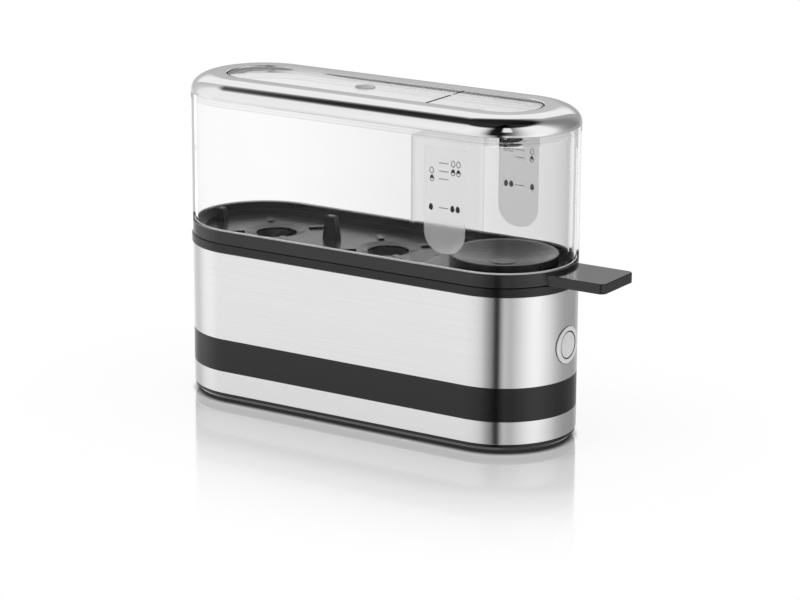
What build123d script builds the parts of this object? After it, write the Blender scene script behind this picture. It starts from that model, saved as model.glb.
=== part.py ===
from build123d import *
from math import radians, sqrt, tan
import os

os.makedirs("parts", exist_ok=True)

# Electric egg cooker, in millimetres. +Z is up and the front faces -Y.
# The origin lies on the table, under the middle of the whole outline with its handle.

# Outline: every shell follows one plan shape, two half circles joined by straight sides.
BODY_RADIUS = 31.1
HALF_STRAIGHT = 60.9
RIM_LIP = 0.5
HANDLE_OVERHANG = 23.4

# Heights of the visible bands, from the table up.
FOOT_STAND = 1.6
BASE_EDGE_HEIGHT = 2.8
LOWER_BAND_HEIGHT = 9.8
BELT_HEIGHT = 14.3
SHELL_HEIGHT = 38.65
RIM_HEIGHT = 3.85
TRAY_RIM_HEIGHT = 5.65
HOOD_WALL_HEIGHT = 54.1
HOOD_LIP_HEIGHT = 2.7
CROWN_HEIGHT = 7.55

# Walls and general clearances.
STEEL_SHEET = 0.6
PLASTIC_WALL = 2.0
SLEEVE_CLEARANCE = 0.1
LOOSE_CLEARANCE = 0.4
SCREW_CLEARANCE = 0.05

# Feet.
FOOT_RADIUS = 6.0
FOOT_RECESS = 0.8
FOOT_STEM_RADIUS = 2.3
FOOT_BULB_RADIUS = 3.2
FOOT_BULB_HEIGHT = 2.0
FOOT_END_OFFSET = 5.1
FOOT_SIDE_INSET = 15.1

# Base plate.
BASE_BEVEL = 1.5
BASE_EDGE_INSET = 0.3
RIM_EDGE = 0.45
UPSTAND_HEIGHT = 4.0
UPSTAND_WALL = 1.4
CHASSIS_GAP = 0.3
VENT_SLOT_LENGTH = 22.0
VENT_SLOT_WIDTH = 2.4
VENT_SLOT_PITCH = 6.0
VENT_SLOT_COUNT = 5

# Screws: head radius, head height, shank radius, shank length.
CASE_SCREW = (2.8, 1.8, 1.5, 11.0)
SMALL_SCREW = (2.1, 1.3, 1.1, 4.0)
SCREW_SLOT_WIDTH = 0.8
SCREW_SLOT_DEPTH = 0.7
COUNTERBORE_DEPTH = 2.1

# Chassis bosses, which take the base screws from below and the strap screws from above.
BOSS_RADIUS = 3.5
BOSS_WALL_BITE = 0.4
BOSS_PAD_HEIGHT = 2.0
STRAP_X = (-20.0, 30.0)

# Heating bowl, its plate and the hairpin element pressed under it.
BOWL_SHEET = 0.8
BOWL_DEPTH = 17.0
BOWL_INSET = 8.4
BOWL_CORNER = 4.0
BOWL_FLANGE_INSET = 3.8
GASKET_THICKNESS = 0.4
GASKET_WIDTH = 2.4
PLATE_THICKNESS = 3.5
PLATE_RADIUS = 17.5
PLATE_HALF_STRAIGHT = 40.0
ELEMENT_RADIUS = 3.25
ELEMENT_HALF_PITCH = 11.5
ELEMENT_LEFT_X = -30.0
ELEMENT_RIGHT_X = 46.0
ELEMENT_BEND = 8.0
ELEMENT_DROP = 4.0
TERMINAL_PIN_RADIUS = 1.2
TERMINAL_PIN_LENGTH = 5.0
GROOVE_CLEARANCE = 0.1
STUD_RADIUS = 2.0
STRAP_THICKNESS = 1.2
STRAP_WIDTH = 12.0
NUT_FLATS = 7.0
NUT_HEIGHT = 3.0

# Thermostat and thermal fuse under the plate.
THERMOSTAT_X = 5.0
THERMOSTAT_RADIUS = 8.0
THERMOSTAT_HEIGHT = 8.0
THERMOSTAT_EAR = (32.0, 8.0, 1.0)
THERMOSTAT_SCREW_X = 12.5
THERMOSTAT_TAB = (0.8, 5.0, 8.0)
THERMOSTAT_TAB_Y = 4.0
FUSE_X = 44.0
FUSE_RADIUS = 2.0
FUSE_LENGTH = 11.0
FUSE_LEAD_RADIUS = 0.5
FUSE_LEAD_LENGTH = 4.0

# Push button on the right end.
BUTTON_Z = 43.4
BEZEL_RADIUS = 7.95
BEZEL_WALL = 2.1
BEZEL_FLANGE_RADIUS = 10.5
BEZEL_FLANGE_THICKNESS = 2.0
BEZEL_PROUD = 0.3
BUTTON_CLEARANCE = 0.3
BUTTON_TRAVEL = 2.0
BUTTON_RETAINER = 1.2
BUTTON_STEM_RADIUS = 1.8
BUTTON_STEM_LENGTH = 3.3
BUTTON_DISH_DEPTH = 0.35
SPRING_WIRE = 0.5
SPRING_RADIUS = 3.2
SPRING_TURNS = 4.5

# Switch and its cradle behind the button.
SWITCH_GAP = 4.0
SWITCH_SIZE = (10.0, 13.0, 14.0)
SWITCH_BORE_DEPTH = 5.0
SWITCH_TERMINAL = (3.0, 1.0, 3.0)
SWITCH_TERMINAL_OFFSET = (4.0, 4.0)
CRADLE_SHEET = 1.2
CRADLE_LENGTH = 12.0
CRADLE_HALF_WIDTH = 16.0
CRADLE_EAR_HEIGHT = 8.0
CRADLE_POST_Y = 12.0
POST_RADIUS = 3.2

# Circuit board, buzzer and terminal block on the base plate.
BOARD_CENTRE = (15.0, -8.0)
BOARD_SIZE = (40.0, 26.0, 1.6)
BOARD_STANDOFF = 7.0
BOARD_HOLE_INSET = 3.5
BUZZER_OFFSET = (8.0, -4.0)
BUZZER_RADIUS = 6.0
BUZZER_HEIGHT = 7.0
BLOCK_CENTRE = (-34.0, 12.0)
BLOCK_SIZE = (24.0, 9.0, 10.0)
BLOCK_STANDOFF = 3.0
BLOCK_WELL_RADIUS = 1.9
BLOCK_WELL_DEPTH = 4.0
BLOCK_PITCH = 8.0

# Cord gland through the back of the black belt.
GLAND_X = -45.0
GLAND_BORE_RADIUS = 3.5
GLAND_WALL = 2.2
GLAND_FLANGE = 1.3
GLAND_INNER_LENGTH = 3.0
GLAND_CLEARANCE = 0.05

# Wires inside the base.
WIRE_RADIUS = 1.0
WIRE_BEND_SHARE = 0.45
WIRE_RISE = 12.0
WIRE_LEAD = 9.0
WIRE_DROP = 11.0
WIRE_CORNER = (36.0, 6.0, 36.0)

# Egg tray: a shallow pan with two seats, stops for the eggs and a dished stand at the right.
TRAY_LEDGE_DROP = 2.65
TRAY_FLOOR_DROP = 4.65
TRAY_FLOOR_THICKNESS = 1.8
TRAY_RIM_WIDTH = 2.4
TRAY_LEDGE_WIDTH = 2.9
TRAY_SKIRT_WALL = 1.6
TRAY_SKIRT_DEPTH = 2.2
SEAT_X = (-54.4, 3.7)
SEAT_HOLE_RADIUS = 9.0
SEAT_CONE_RADIUS = 13.0
SEAT_CONE_DEPTH = 1.0
SEAT_RIB_WIDTH = 2.4
SEAT_RIB_HEIGHT = 0.8
SEAT_RIB_LENGTH = 7.0
STOP_THICKNESS = 3.2
END_STOP = (5.0, 2.4, 6.4)
MIDDLE_STOP = (8.0, 4.2, 10.5)
BASIN_RADIUS = 21.5
BASIN_WALL = 1.3
BASIN_RISE = 6.5
BASIN_SPHERE_DEPTH = 4.2
BASIN_BOSS_RADIUS = 5.0
BASIN_BOSS_HEIGHT = 0.5
HANDLE_HALF_WIDTH = 12.8
HANDLE_THICKNESS = 4.25
HANDLE_CORNER = 2.5
HANDLE_EDGE = 0.5
TRAY_EDGE = 0.3

# Hood and its chromed crown.
HOOD_WALL = 2.0
HOOD_LIP_PROUD = 0.2
SHOULDER_RUN = 10.0
SHOULDER_RISE = 7.0
CROWN_PROUD = 0.3
CROWN_THICKNESS = 1.2
CROWN_GAP = 0.1
CROWN_SKIRT = 0.35
WINDOW_RADIUS = 14.0
WINDOW_GAP = 0.5
ROOF_THICKNESS = 2.0
ROOF_RECESS = 0.3
ROOF_STEP_X = 31.5
ROOF_STEP_WIDTH = 1.2
ROOF_STEP_DEPTH = 0.4
VENT_X = -8.3
VENT_RADIUS = 4.3

# Measuring cup, kept upside down under the hood's right third.
CUP_HEADROOM = 3.05
CUP_WALL = 1.7
CUP_FLAT_X = 32.3
CUP_RIM_CLEARANCE = 0.4
CUP_CORNER = 1.6
CUP_TOP_EDGE = 1.4
SCALE_X = (40.1, 59.5)
SCALE_HEIGHT = 44.3
SCALE_TOP_GAP = 3.9
SCALE_PROUD = 0.3
SCALE_CORNER = 9.0
PICK_X = 60.9
PICK_WELL_RADIUS = 7.0
PICK_WELL_DEPTH = 4.5
PICK_RADIUS = 0.75
PICK_SEAT_DEPTH = 1.0
PICK_TIP_LENGTH = 1.6

# Places that follow from the sizes above.
BODY_X = -(HANDLE_OVERHANG - RIM_LIP) / 2
END_X = BODY_X + HALF_STRAIGHT
BASE_TOP = FOOT_STAND + BASE_EDGE_HEIGHT
BELT_LOW = BASE_TOP + LOWER_BAND_HEIGHT
BELT_HIGH = BELT_LOW + BELT_HEIGHT
SHELL_TOP = BELT_HIGH + SHELL_HEIGHT
RIM_TOP = SHELL_TOP + RIM_HEIGHT
TRAY_TOP = RIM_TOP + TRAY_RIM_HEIGHT
LIP_LOW = TRAY_TOP + HOOD_WALL_HEIGHT
CROWN_LOW = LIP_LOW + HOOD_LIP_HEIGHT
CROWN_TOP = CROWN_LOW + CROWN_HEIGHT
CUP_TOP = CROWN_LOW - CUP_HEADROOM
SCALE_HIGH_Z = CUP_TOP - SCALE_TOP_GAP
SCALE_LOW_Z = SCALE_HIGH_Z - SCALE_HEIGHT
FOOT_X = HALF_STRAIGHT + FOOT_END_OFFSET
FOOT_Y = BODY_RADIUS - FOOT_SIDE_INSET
SLEEVE_RADIUS = BODY_RADIUS - STEEL_SHEET - SLEEVE_CLEARANCE
CHASSIS_INNER = SLEEVE_RADIUS - PLASTIC_WALL
CHASSIS_LOW = BASE_TOP + UPSTAND_HEIGHT + CHASSIS_GAP
CHASSIS_TOP = SHELL_TOP - 3.0
BOSS_Y = CHASSIS_INNER - BOSS_RADIUS + BOSS_WALL_BITE
BOSS_LOW = BASE_TOP + BOSS_PAD_HEIGHT
BOWL_INNER = BODY_RADIUS - BOWL_INSET
BOWL_OUTER = BOWL_INNER + BOWL_SHEET
BOWL_FLANGE = BODY_RADIUS - BOWL_FLANGE_INSET
LEDGE_Z = RIM_TOP - BOWL_SHEET - GASKET_THICKNESS
BOWL_FLOOR = RIM_TOP - BOWL_DEPTH
PLATE_TOP = BOWL_FLOOR - BOWL_SHEET
PLATE_LOW = PLATE_TOP - PLATE_THICKNESS
STRAP_TOP = PLATE_LOW - ELEMENT_RADIUS
STRAP_LOW = STRAP_TOP - STRAP_THICKNESS
BEZEL_BORE = BEZEL_RADIUS - BEZEL_WALL
BEZEL_FACE_X = END_X + BODY_RADIUS + BEZEL_PROUD
BEZEL_BACK_X = END_X + sqrt(CHASSIS_INNER**2 - BEZEL_FLANGE_RADIUS**2) - BEZEL_FLANGE_THICKNESS
SWITCH_FACE_X = BEZEL_BACK_X - BUTTON_RETAINER - SWITCH_GAP
SWITCH_LOW = BUTTON_Z - SWITCH_SIZE[2] / 2
CRADLE_LOW = SWITCH_LOW - CRADLE_SHEET
CRADLE_X = SWITCH_FACE_X - SWITCH_SIZE[0] / 2
BOARD_LOW = BASE_TOP + BOARD_STANDOFF
BLOCK_LOW = BASE_TOP + BLOCK_STANDOFF
GLAND_Z = (BELT_LOW + BELT_HIGH) / 2
GLAND_RADIUS = GLAND_BORE_RADIUS + GLAND_WALL
TRAY_LEDGE = TRAY_TOP - TRAY_LEDGE_DROP
TRAY_FLOOR = TRAY_TOP - TRAY_FLOOR_DROP
TRAY_RIM_INNER = BODY_RADIUS - TRAY_RIM_WIDTH
TRAY_FLOOR_RADIUS = TRAY_RIM_INNER - TRAY_LEDGE_WIDTH
HOOD_INNER = BODY_RADIUS - HOOD_WALL
CUP_OUTER = TRAY_RIM_INNER - CUP_RIM_CLEARANCE
CUP_INNER = CUP_OUTER - CUP_WALL
STOP_X = (2 * SEAT_X[0] - sum(SEAT_X) / 2, sum(SEAT_X) / 2)


def at(x, y=0.0, z=0.0):
    """Place measured from the middle of the body's outline."""
    return Pos(BODY_X + x, y, z)


def stadium(radius, low, high, half_straight=HALF_STRAIGHT):
    """Upright prism with round ends, concentric with the body."""
    outline = SlotCenterToCenter(2 * half_straight, 2 * radius)
    return at(0, 0, low) * extrude(outline, high - low)


def band(outer, inner, low, high):
    """Upright ring that follows the body's outline."""
    return stadium(outer, low, high) - stadium(inner, low, high)


def disc(radius, low, high, x=0.0, y=0.0):
    """Upright round bar."""
    return at(x, y, (low + high) / 2) * Cylinder(radius, high - low)


def block(length, width, low, high, x=0.0, y=0.0):
    """Upright box."""
    return at(x, y, (low + high) / 2) * Box(length, width, high - low)


def bar_x(radius, start_x, end_x, y=0.0, z=BUTTON_Z):
    """Round bar along X, between two places in the row's own X."""
    middle = (start_x + end_x) / 2
    return Pos(middle, y, z) * Rot(0, 90, 0) * Cylinder(radius, abs(end_x - start_x))


def bar_y(radius, start_y, end_y, x, z):
    """Round bar along Y."""
    middle = (start_y + end_y) / 2
    return at(x, middle, z) * Rot(90, 0, 0) * Cylinder(radius, abs(end_y - start_y))


def around(section):
    """Carry a section, drawn as radius and height, round the body's outline."""
    upright = Plane.XZ * section
    half_turn = revolve(upright, Axis.Z, 180)
    side = extrude(upright, HALF_STRAIGHT, both=True)
    right = Pos(HALF_STRAIGHT, 0, 0) * Rot(0, 0, -90) * half_turn
    left = Pos(-HALF_STRAIGHT, 0, 0) * Rot(0, 0, 90) * half_turn
    front = Rot(0, 0, -90) * side
    back = Rot(0, 0, 90) * side
    return at(0) * (right + front + left + back)


def outline_face(*points):
    """Closed straight-sided section."""
    return make_face(Polyline(*points, close=True))


def screw(kind, seat, x, y, down=True):
    """Slotted pan head screw whose head sits on the given height."""
    head_radius, head_height, shank_radius, shank_length = kind
    head = Cylinder(head_radius, head_height, align=(Align.CENTER, Align.CENTER, Align.MIN))
    head = fillet(head.edges().group_by(Axis.Z)[-1], head_height / 3)
    slot = Box(2 * head_radius, SCREW_SLOT_WIDTH, 2 * SCREW_SLOT_DEPTH)
    shank = Cylinder(shank_radius, shank_length, align=(Align.CENTER, Align.CENTER, Align.MAX))
    shank = chamfer(shank.edges().group_by(Axis.Z)[0], shank_radius / 2)
    body = head - Pos(0, 0, head_height) * slot + shank
    turn = Rot(0, 0, 0) if down else Rot(180, 0, 0)
    return at(x, y, seat) * turn * body


def corners(half_x, half_y, x=0.0, y=0.0):
    """The four corners of a rectangle about a place."""
    return [(x + side_x * half_x, y + side_y * half_y) for side_x in (-1, 1) for side_y in (-1, 1)]


def boss_places():
    """Where the chassis bosses stand."""
    return [(x, side * BOSS_Y) for x in STRAP_X for side in (-1, 1)]


def foot(x, y):
    """Rubber foot with a stem that snaps through the base plate."""
    recess = FOOT_STAND + FOOT_RECESS
    head = disc(FOOT_RADIUS, 0, recess, x, y)
    head = fillet(head.edges().group_by(Axis.Z)[0], FOOT_STAND / 2)
    stem = disc(FOOT_STEM_RADIUS, recess, BASE_TOP, x, y)
    bulb = Cone(FOOT_BULB_RADIUS, FOOT_STEM_RADIUS / 2, FOOT_BULB_HEIGHT)
    return head + stem + at(x, y, BASE_TOP + FOOT_BULB_HEIGHT / 2) * bulb


def base_plate():
    """Moulded floor: upstand for the steel band, recesses, posts and cooling slots."""
    plate = stadium(BODY_RADIUS - BASE_EDGE_INSET, FOOT_STAND, BASE_TOP)
    plate = chamfer(plate.edges().group_by(Axis.Z)[0], BASE_BEVEL)
    upstand_inner = SLEEVE_RADIUS - UPSTAND_WALL
    plate += band(SLEEVE_RADIUS, upstand_inner, BASE_TOP, BASE_TOP + UPSTAND_HEIGHT)
    for x, y in corners(FOOT_X, FOOT_Y):
        plate -= disc(FOOT_RADIUS + SLEEVE_CLEARANCE, FOOT_STAND, FOOT_STAND + FOOT_RECESS, x, y)
        plate -= disc(FOOT_STEM_RADIUS + SLEEVE_CLEARANCE, FOOT_STAND, BASE_TOP, x, y)
    head_radius, _, shank_radius, _ = CASE_SCREW
    for x, y in boss_places():
        plate += disc(BOSS_RADIUS, BASE_TOP, BOSS_LOW, x, y)
        plate -= disc(head_radius + LOOSE_CLEARANCE, FOOT_STAND, FOOT_STAND + COUNTERBORE_DEPTH, x, y)
        plate -= disc(shank_radius + SLEEVE_CLEARANCE, FOOT_STAND, BOSS_LOW, x, y)
    for side in (-1, 1):
        post_x = CRADLE_X - BODY_X
        plate += disc(POST_RADIUS, BASE_TOP, CRADLE_LOW, post_x, side * CRADLE_POST_Y)
        plate -= pilot(CASE_SCREW, CRADLE_LOW, post_x, side * CRADLE_POST_Y)
    for x, y in board_holes():
        plate += disc(POST_RADIUS, BASE_TOP, BOARD_LOW, x, y)
        plate -= pilot(SMALL_SCREW, BOARD_LOW, x, y)
    for side in (-1, 1):
        plate += disc(POST_RADIUS, BASE_TOP, BLOCK_LOW, BLOCK_CENTRE[0] + side * BLOCK_PITCH, BLOCK_CENTRE[1])
    for step in range(VENT_SLOT_COUNT):
        slot_y = (step - (VENT_SLOT_COUNT - 1) / 2) * VENT_SLOT_PITCH
        slot = extrude(SlotOverall(VENT_SLOT_LENGTH, VENT_SLOT_WIDTH), BASE_EDGE_HEIGHT)
        plate -= at(-FOOT_X / 2 - VENT_SLOT_LENGTH / 2, slot_y - BLOCK_SIZE[1], FOOT_STAND) * slot
    return plate


def pilot(kind, seat, x, y):
    """Blind hole that takes a screw's shank."""
    return disc(kind[2] + SCREW_CLEARANCE, seat - kind[3] - 1, seat, x, y)


def board_holes():
    """Where the circuit board is screwed down."""
    half_x = BOARD_SIZE[0] / 2 - BOARD_HOLE_INSET
    half_y = BOARD_SIZE[1] / 2 - BOARD_HOLE_INSET
    return corners(half_x, half_y, *BOARD_CENTRE)


def lower_steel_band():
    """Narrow steel sleeve below the black belt."""
    return band(BODY_RADIUS, BODY_RADIUS - STEEL_SHEET, BASE_TOP, BELT_LOW)


def chassis():
    """Inner moulded wall; its raised belt is the black band that shows."""
    frame = band(SLEEVE_RADIUS, CHASSIS_INNER, CHASSIS_LOW, CHASSIS_TOP)
    frame += band(BODY_RADIUS, CHASSIS_INNER, BELT_LOW, BELT_HIGH)
    for x, y in boss_places():
        frame += disc(BOSS_RADIUS, BOSS_LOW, STRAP_LOW, x, y)
    for x, y in boss_places():
        frame -= pilot(CASE_SCREW, STRAP_LOW, x, y)
        frame -= disc(CASE_SCREW[2] + SCREW_CLEARANCE, BOSS_LOW, BOSS_LOW + CASE_SCREW[3], x, y)
    frame -= bar_y(GLAND_RADIUS + GLAND_CLEARANCE, CHASSIS_INNER - 1, BODY_RADIUS + 1, GLAND_X, GLAND_Z)
    frame -= bar_x(BEZEL_RADIUS + SLEEVE_CLEARANCE, END_X + CHASSIS_INNER / 2, BEZEL_FACE_X)
    return frame


def upper_steel_shell():
    """Tall steel sleeve with the button's hole in its right end."""
    shell = band(BODY_RADIUS, BODY_RADIUS - STEEL_SHEET, BELT_HIGH, SHELL_TOP)
    return shell - bar_x(BEZEL_RADIUS + SLEEVE_CLEARANCE, END_X, BEZEL_FACE_X)


def top_rim():
    """Black collar that closes the steel shell and carries the bowl on an inner ledge."""
    lip = BODY_RADIUS + RIM_LIP
    mouth = BOWL_FLANGE + 2 * SLEEVE_CLEARANCE
    ledge = BOWL_OUTER + LOOSE_CLEARANCE
    under = LEDGE_Z - PLASTIC_WALL
    section = outline_face(
        (lip, SHELL_TOP), (lip, RIM_TOP), (mouth, RIM_TOP), (mouth, LEDGE_Z), (ledge, LEDGE_Z),
        (ledge, under), (CHASSIS_INNER, under), (CHASSIS_INNER, CHASSIS_TOP),
        (SLEEVE_RADIUS, CHASSIS_TOP), (SLEEVE_RADIUS, SHELL_TOP),
    )
    return around(fillet(section.vertices().group_by(Axis.X)[-1], RIM_EDGE))


def bowl_gasket():
    """Flat seal between the bowl's flange and the ledge."""
    return band(BOWL_FLANGE, BOWL_FLANGE - GASKET_WIDTH, LEDGE_Z, LEDGE_Z + GASKET_THICKNESS)


def heating_bowl():
    """Pressed steel water bowl with a flange and two welded studs."""
    outer = stadium(BOWL_OUTER, PLATE_TOP, RIM_TOP)
    outer = fillet(outer.edges().group_by(Axis.Z)[0], BOWL_CORNER + BOWL_SHEET)
    inner = stadium(BOWL_INNER, BOWL_FLOOR, RIM_TOP + 1)
    inner = fillet(inner.edges().group_by(Axis.Z)[0], BOWL_CORNER)
    bowl = outer + stadium(BOWL_FLANGE, RIM_TOP - BOWL_SHEET, RIM_TOP) - inner
    stud_low = STRAP_LOW - NUT_HEIGHT - STUD_RADIUS / 2
    for x in STRAP_X:
        bowl += disc(STUD_RADIUS, stud_low, PLATE_TOP, x)
    return bowl


def element_path():
    """Hairpin centre line whose two ends turn down."""
    back, front = ELEMENT_HALF_PITCH, -ELEMENT_HALF_PITCH
    drop = PLATE_LOW - ELEMENT_BEND - ELEMENT_DROP
    bend_x = ELEMENT_RIGHT_X + ELEMENT_BEND
    left = (ELEMENT_LEFT_X - ELEMENT_HALF_PITCH, 0, PLATE_LOW)
    bend_low = PLATE_LOW - ELEMENT_BEND

    def leg(y):
        down = Line((bend_x, y, drop), (bend_x, y, bend_low))
        turn = TangentArc((bend_x, y, bend_low), (ELEMENT_RIGHT_X, y, PLATE_LOW), tangent=(0, 0, 1))
        run = Line((ELEMENT_RIGHT_X, y, PLATE_LOW), (ELEMENT_LEFT_X, y, PLATE_LOW))
        return down, turn, run

    hairpin = ThreePointArc((ELEMENT_LEFT_X, back, PLATE_LOW), left, (ELEMENT_LEFT_X, front, PLATE_LOW))
    return Wire([*leg(back), hairpin, *leg(front)])


def tube(path, radius):
    """Round bar along a wire."""
    section = Plane(path @ 0, z_dir=path % 0) * Circle(radius)
    return sweep(section, path=path)


def heater_plate():
    """Cast plate that spreads the element's heat under the bowl."""
    plate = stadium(PLATE_RADIUS, PLATE_LOW, PLATE_TOP, PLATE_HALF_STRAIGHT)
    plate -= at(0) * tube(element_path(), ELEMENT_RADIUS + GROOVE_CLEARANCE)
    for x in STRAP_X:
        plate -= disc(STUD_RADIUS + SLEEVE_CLEARANCE, PLATE_LOW, PLATE_TOP, x)
    for side in (-1, 1):
        hole_x = THERMOSTAT_X + side * THERMOSTAT_SCREW_X
        plate -= disc(SMALL_SCREW[2] + SCREW_CLEARANCE, PLATE_LOW, PLATE_TOP, hole_x)
    return plate


def heating_element():
    """Sheathed hairpin element with a connecting pin in each end."""
    element = tube(element_path(), ELEMENT_RADIUS)
    end_z = PLATE_LOW - ELEMENT_BEND - ELEMENT_DROP
    pin_x = ELEMENT_RIGHT_X + ELEMENT_BEND
    element = at(0) * element
    for side in (-1, 1):
        pin_y = side * ELEMENT_HALF_PITCH
        element += disc(TERMINAL_PIN_RADIUS, end_z - TERMINAL_PIN_LENGTH, end_z, pin_x, pin_y)
    return element


def heater_strap(x):
    """Steel strap across two chassis bosses that presses the element up."""
    reach = 2 * (BOSS_Y + BOSS_RADIUS) - 2 * BOSS_WALL_BITE - 2 * SLEEVE_CLEARANCE
    outline = RectangleRounded(STRAP_WIDTH, reach, BOSS_RADIUS)
    strap = at(x, 0, STRAP_LOW) * extrude(outline, STRAP_THICKNESS)
    strap -= disc(STUD_RADIUS + SLEEVE_CLEARANCE, STRAP_LOW, STRAP_TOP, x)
    for side in (-1, 1):
        strap -= disc(CASE_SCREW[2] + SLEEVE_CLEARANCE, STRAP_LOW, STRAP_TOP, x, side * BOSS_Y)
    return strap


def hex_nut(x):
    """Nut on one of the bowl's studs."""
    outline = RegularPolygon(NUT_FLATS / 2, 6, major_radius=False) - Circle(STUD_RADIUS + SCREW_CLEARANCE)
    return at(x, 0, STRAP_LOW - NUT_HEIGHT) * extrude(outline, NUT_HEIGHT)


def thermostat():
    """Snap-disc thermostat with a screwed flange and two blade terminals."""
    low = PLATE_LOW - THERMOSTAT_HEIGHT
    body = disc(THERMOSTAT_RADIUS, low, PLATE_LOW, THERMOSTAT_X)
    length, width, thickness = THERMOSTAT_EAR
    ear = at(THERMOSTAT_X, 0, PLATE_LOW - thickness) * extrude(SlotOverall(length, width), thickness)
    body += ear
    for side in (-1, 1):
        hole_x = THERMOSTAT_X + side * THERMOSTAT_SCREW_X
        body -= disc(SMALL_SCREW[2] + SLEEVE_CLEARANCE, PLATE_LOW - thickness, PLATE_LOW, hole_x)
        tab_thickness, tab_width, tab_length = THERMOSTAT_TAB
        body += block(tab_width, tab_thickness, low - tab_length, low, THERMOSTAT_X, side * THERMOSTAT_TAB_Y)
    return body


def thermal_fuse():
    """One-shot fuse lying against the plate."""
    z = PLATE_LOW - FUSE_RADIUS
    middle = BODY_X + FUSE_X
    reach = FUSE_LENGTH / 2 + FUSE_LEAD_LENGTH
    can = bar_x(FUSE_RADIUS, middle - FUSE_LENGTH / 2, middle + FUSE_LENGTH / 2, 0, z)
    return can + bar_x(FUSE_LEAD_RADIUS, middle - reach, middle + reach, 0, z)


def button_bezel():
    """Metal ring in the end wall, held by a flange behind the chassis."""
    ring = bar_x(BEZEL_RADIUS, BEZEL_BACK_X, BEZEL_FACE_X)
    ring = fillet(ring.edges().group_by(Axis.X)[-1], BEZEL_PROUD)
    ring += bar_x(BEZEL_FLANGE_RADIUS, BEZEL_BACK_X, BEZEL_BACK_X + BEZEL_FLANGE_THICKNESS)
    return ring - bar_x(BEZEL_BORE, BEZEL_BACK_X, BEZEL_FACE_X)


def button_cap():
    """Round key with a dished face, a retaining collar and a stem."""
    radius = BEZEL_BORE - BUTTON_CLEARANCE
    cap = bar_x(radius, BEZEL_BACK_X, BEZEL_FACE_X)
    cap = fillet(cap.edges().group_by(Axis.X)[-1], BUTTON_CLEARANCE)
    sphere_radius = (radius**2 + BUTTON_DISH_DEPTH**2) / (2 * BUTTON_DISH_DEPTH)
    cap -= Pos(BEZEL_FACE_X + sphere_radius - BUTTON_DISH_DEPTH, 0, BUTTON_Z) * Sphere(sphere_radius)
    collar_radius = BEZEL_BORE + BUTTON_RETAINER
    collar_x = BEZEL_BACK_X - BUTTON_RETAINER
    cap += bar_x(collar_radius, collar_x, BEZEL_BACK_X)
    return cap + bar_x(BUTTON_STEM_RADIUS, collar_x - SWITCH_GAP - BUTTON_STEM_LENGTH / 3, collar_x)


def button_spring():
    """Return spring between the switch and the key's collar."""
    start = SWITCH_FACE_X + SPRING_WIRE / 2
    height = SWITCH_GAP - SPRING_WIRE
    coil = Helix(height / SPRING_TURNS, height, SPRING_RADIUS)
    section = Plane(coil @ 0, z_dir=coil % 0) * Circle(SPRING_WIRE / 2)
    return Pos(start, 0, BUTTON_Z) * Rot(0, 90, 0) * sweep(section, path=coil, is_frenet=True)


def switch_terminals():
    """Where the two wires meet the back of the switch, as row X, Y and Z."""
    offset_y, offset_z = SWITCH_TERMINAL_OFFSET
    back_x = SWITCH_FACE_X - SWITCH_SIZE[0] - SWITCH_TERMINAL[0]
    return [(back_x, offset_y, BUTTON_Z + side * offset_z) for side in (1, -1)]


def switch_housing():
    """Push switch with a bore for the key's stem and two rear blades."""
    length, width, height = SWITCH_SIZE
    body = Pos(SWITCH_FACE_X - length / 2, 0, BUTTON_Z) * Box(length, width, height)
    body = fillet(body.edges().filter_by(Axis.X), 1.0)
    bore = BUTTON_STEM_RADIUS + BUTTON_CLEARANCE
    body -= bar_x(bore, SWITCH_FACE_X - SWITCH_BORE_DEPTH, SWITCH_FACE_X)
    for x, y, z in switch_terminals():
        body += Pos(x + SWITCH_TERMINAL[0] / 2, y, z) * Box(*SWITCH_TERMINAL)
    return body


def switch_bracket():
    """Folded cradle that holds the switch on two posts."""
    half_gap = SWITCH_SIZE[1] / 2 + SLEEVE_CLEARANCE
    outline = RectangleRounded(CRADLE_LENGTH, 2 * CRADLE_HALF_WIDTH, POST_RADIUS / 2)
    shelf = Pos(CRADLE_X, 0, CRADLE_LOW) * extrude(outline, CRADLE_SHEET)
    for side in (-1, 1):
        ear_y = side * (half_gap + CRADLE_SHEET / 2)
        ear_top = SWITCH_LOW + CRADLE_EAR_HEIGHT
        shelf += block(SWITCH_SIZE[0], CRADLE_SHEET, CRADLE_LOW, ear_top, CRADLE_X - BODY_X, ear_y)
        hole = disc(CASE_SCREW[2] + SLEEVE_CLEARANCE, CRADLE_LOW, SWITCH_LOW, CRADLE_X - BODY_X, side * CRADLE_POST_Y)
        shelf -= hole
    return shelf


def circuit_board():
    """Board with its screw holes and a few low components."""
    length, width, thickness = BOARD_SIZE
    top = BOARD_LOW + thickness
    board = block(length, width, BOARD_LOW, top, *BOARD_CENTRE)
    for x, y in board_holes():
        board -= disc(SMALL_SCREW[2] + SLEEVE_CLEARANCE, BOARD_LOW, top, x, y)
    board += block(length / 4, width / 3, top, top + 2 * thickness, BOARD_CENTRE[0] - length / 6, BOARD_CENTRE[1])
    return board


def buzzer():
    """Round sounder on the board, with its sound hole."""
    low = BOARD_LOW + BOARD_SIZE[2]
    x, y = BOARD_CENTRE[0] + BUZZER_OFFSET[0], BOARD_CENTRE[1] + BUZZER_OFFSET[1]
    body = disc(BUZZER_RADIUS, low, low + BUZZER_HEIGHT, x, y)
    body = fillet(body.edges().group_by(Axis.Z)[-1], BUZZER_RADIUS / 8)
    return body - disc(BUZZER_RADIUS / 6, low + BUZZER_HEIGHT / 2, low + BUZZER_HEIGHT, x, y)


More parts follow.
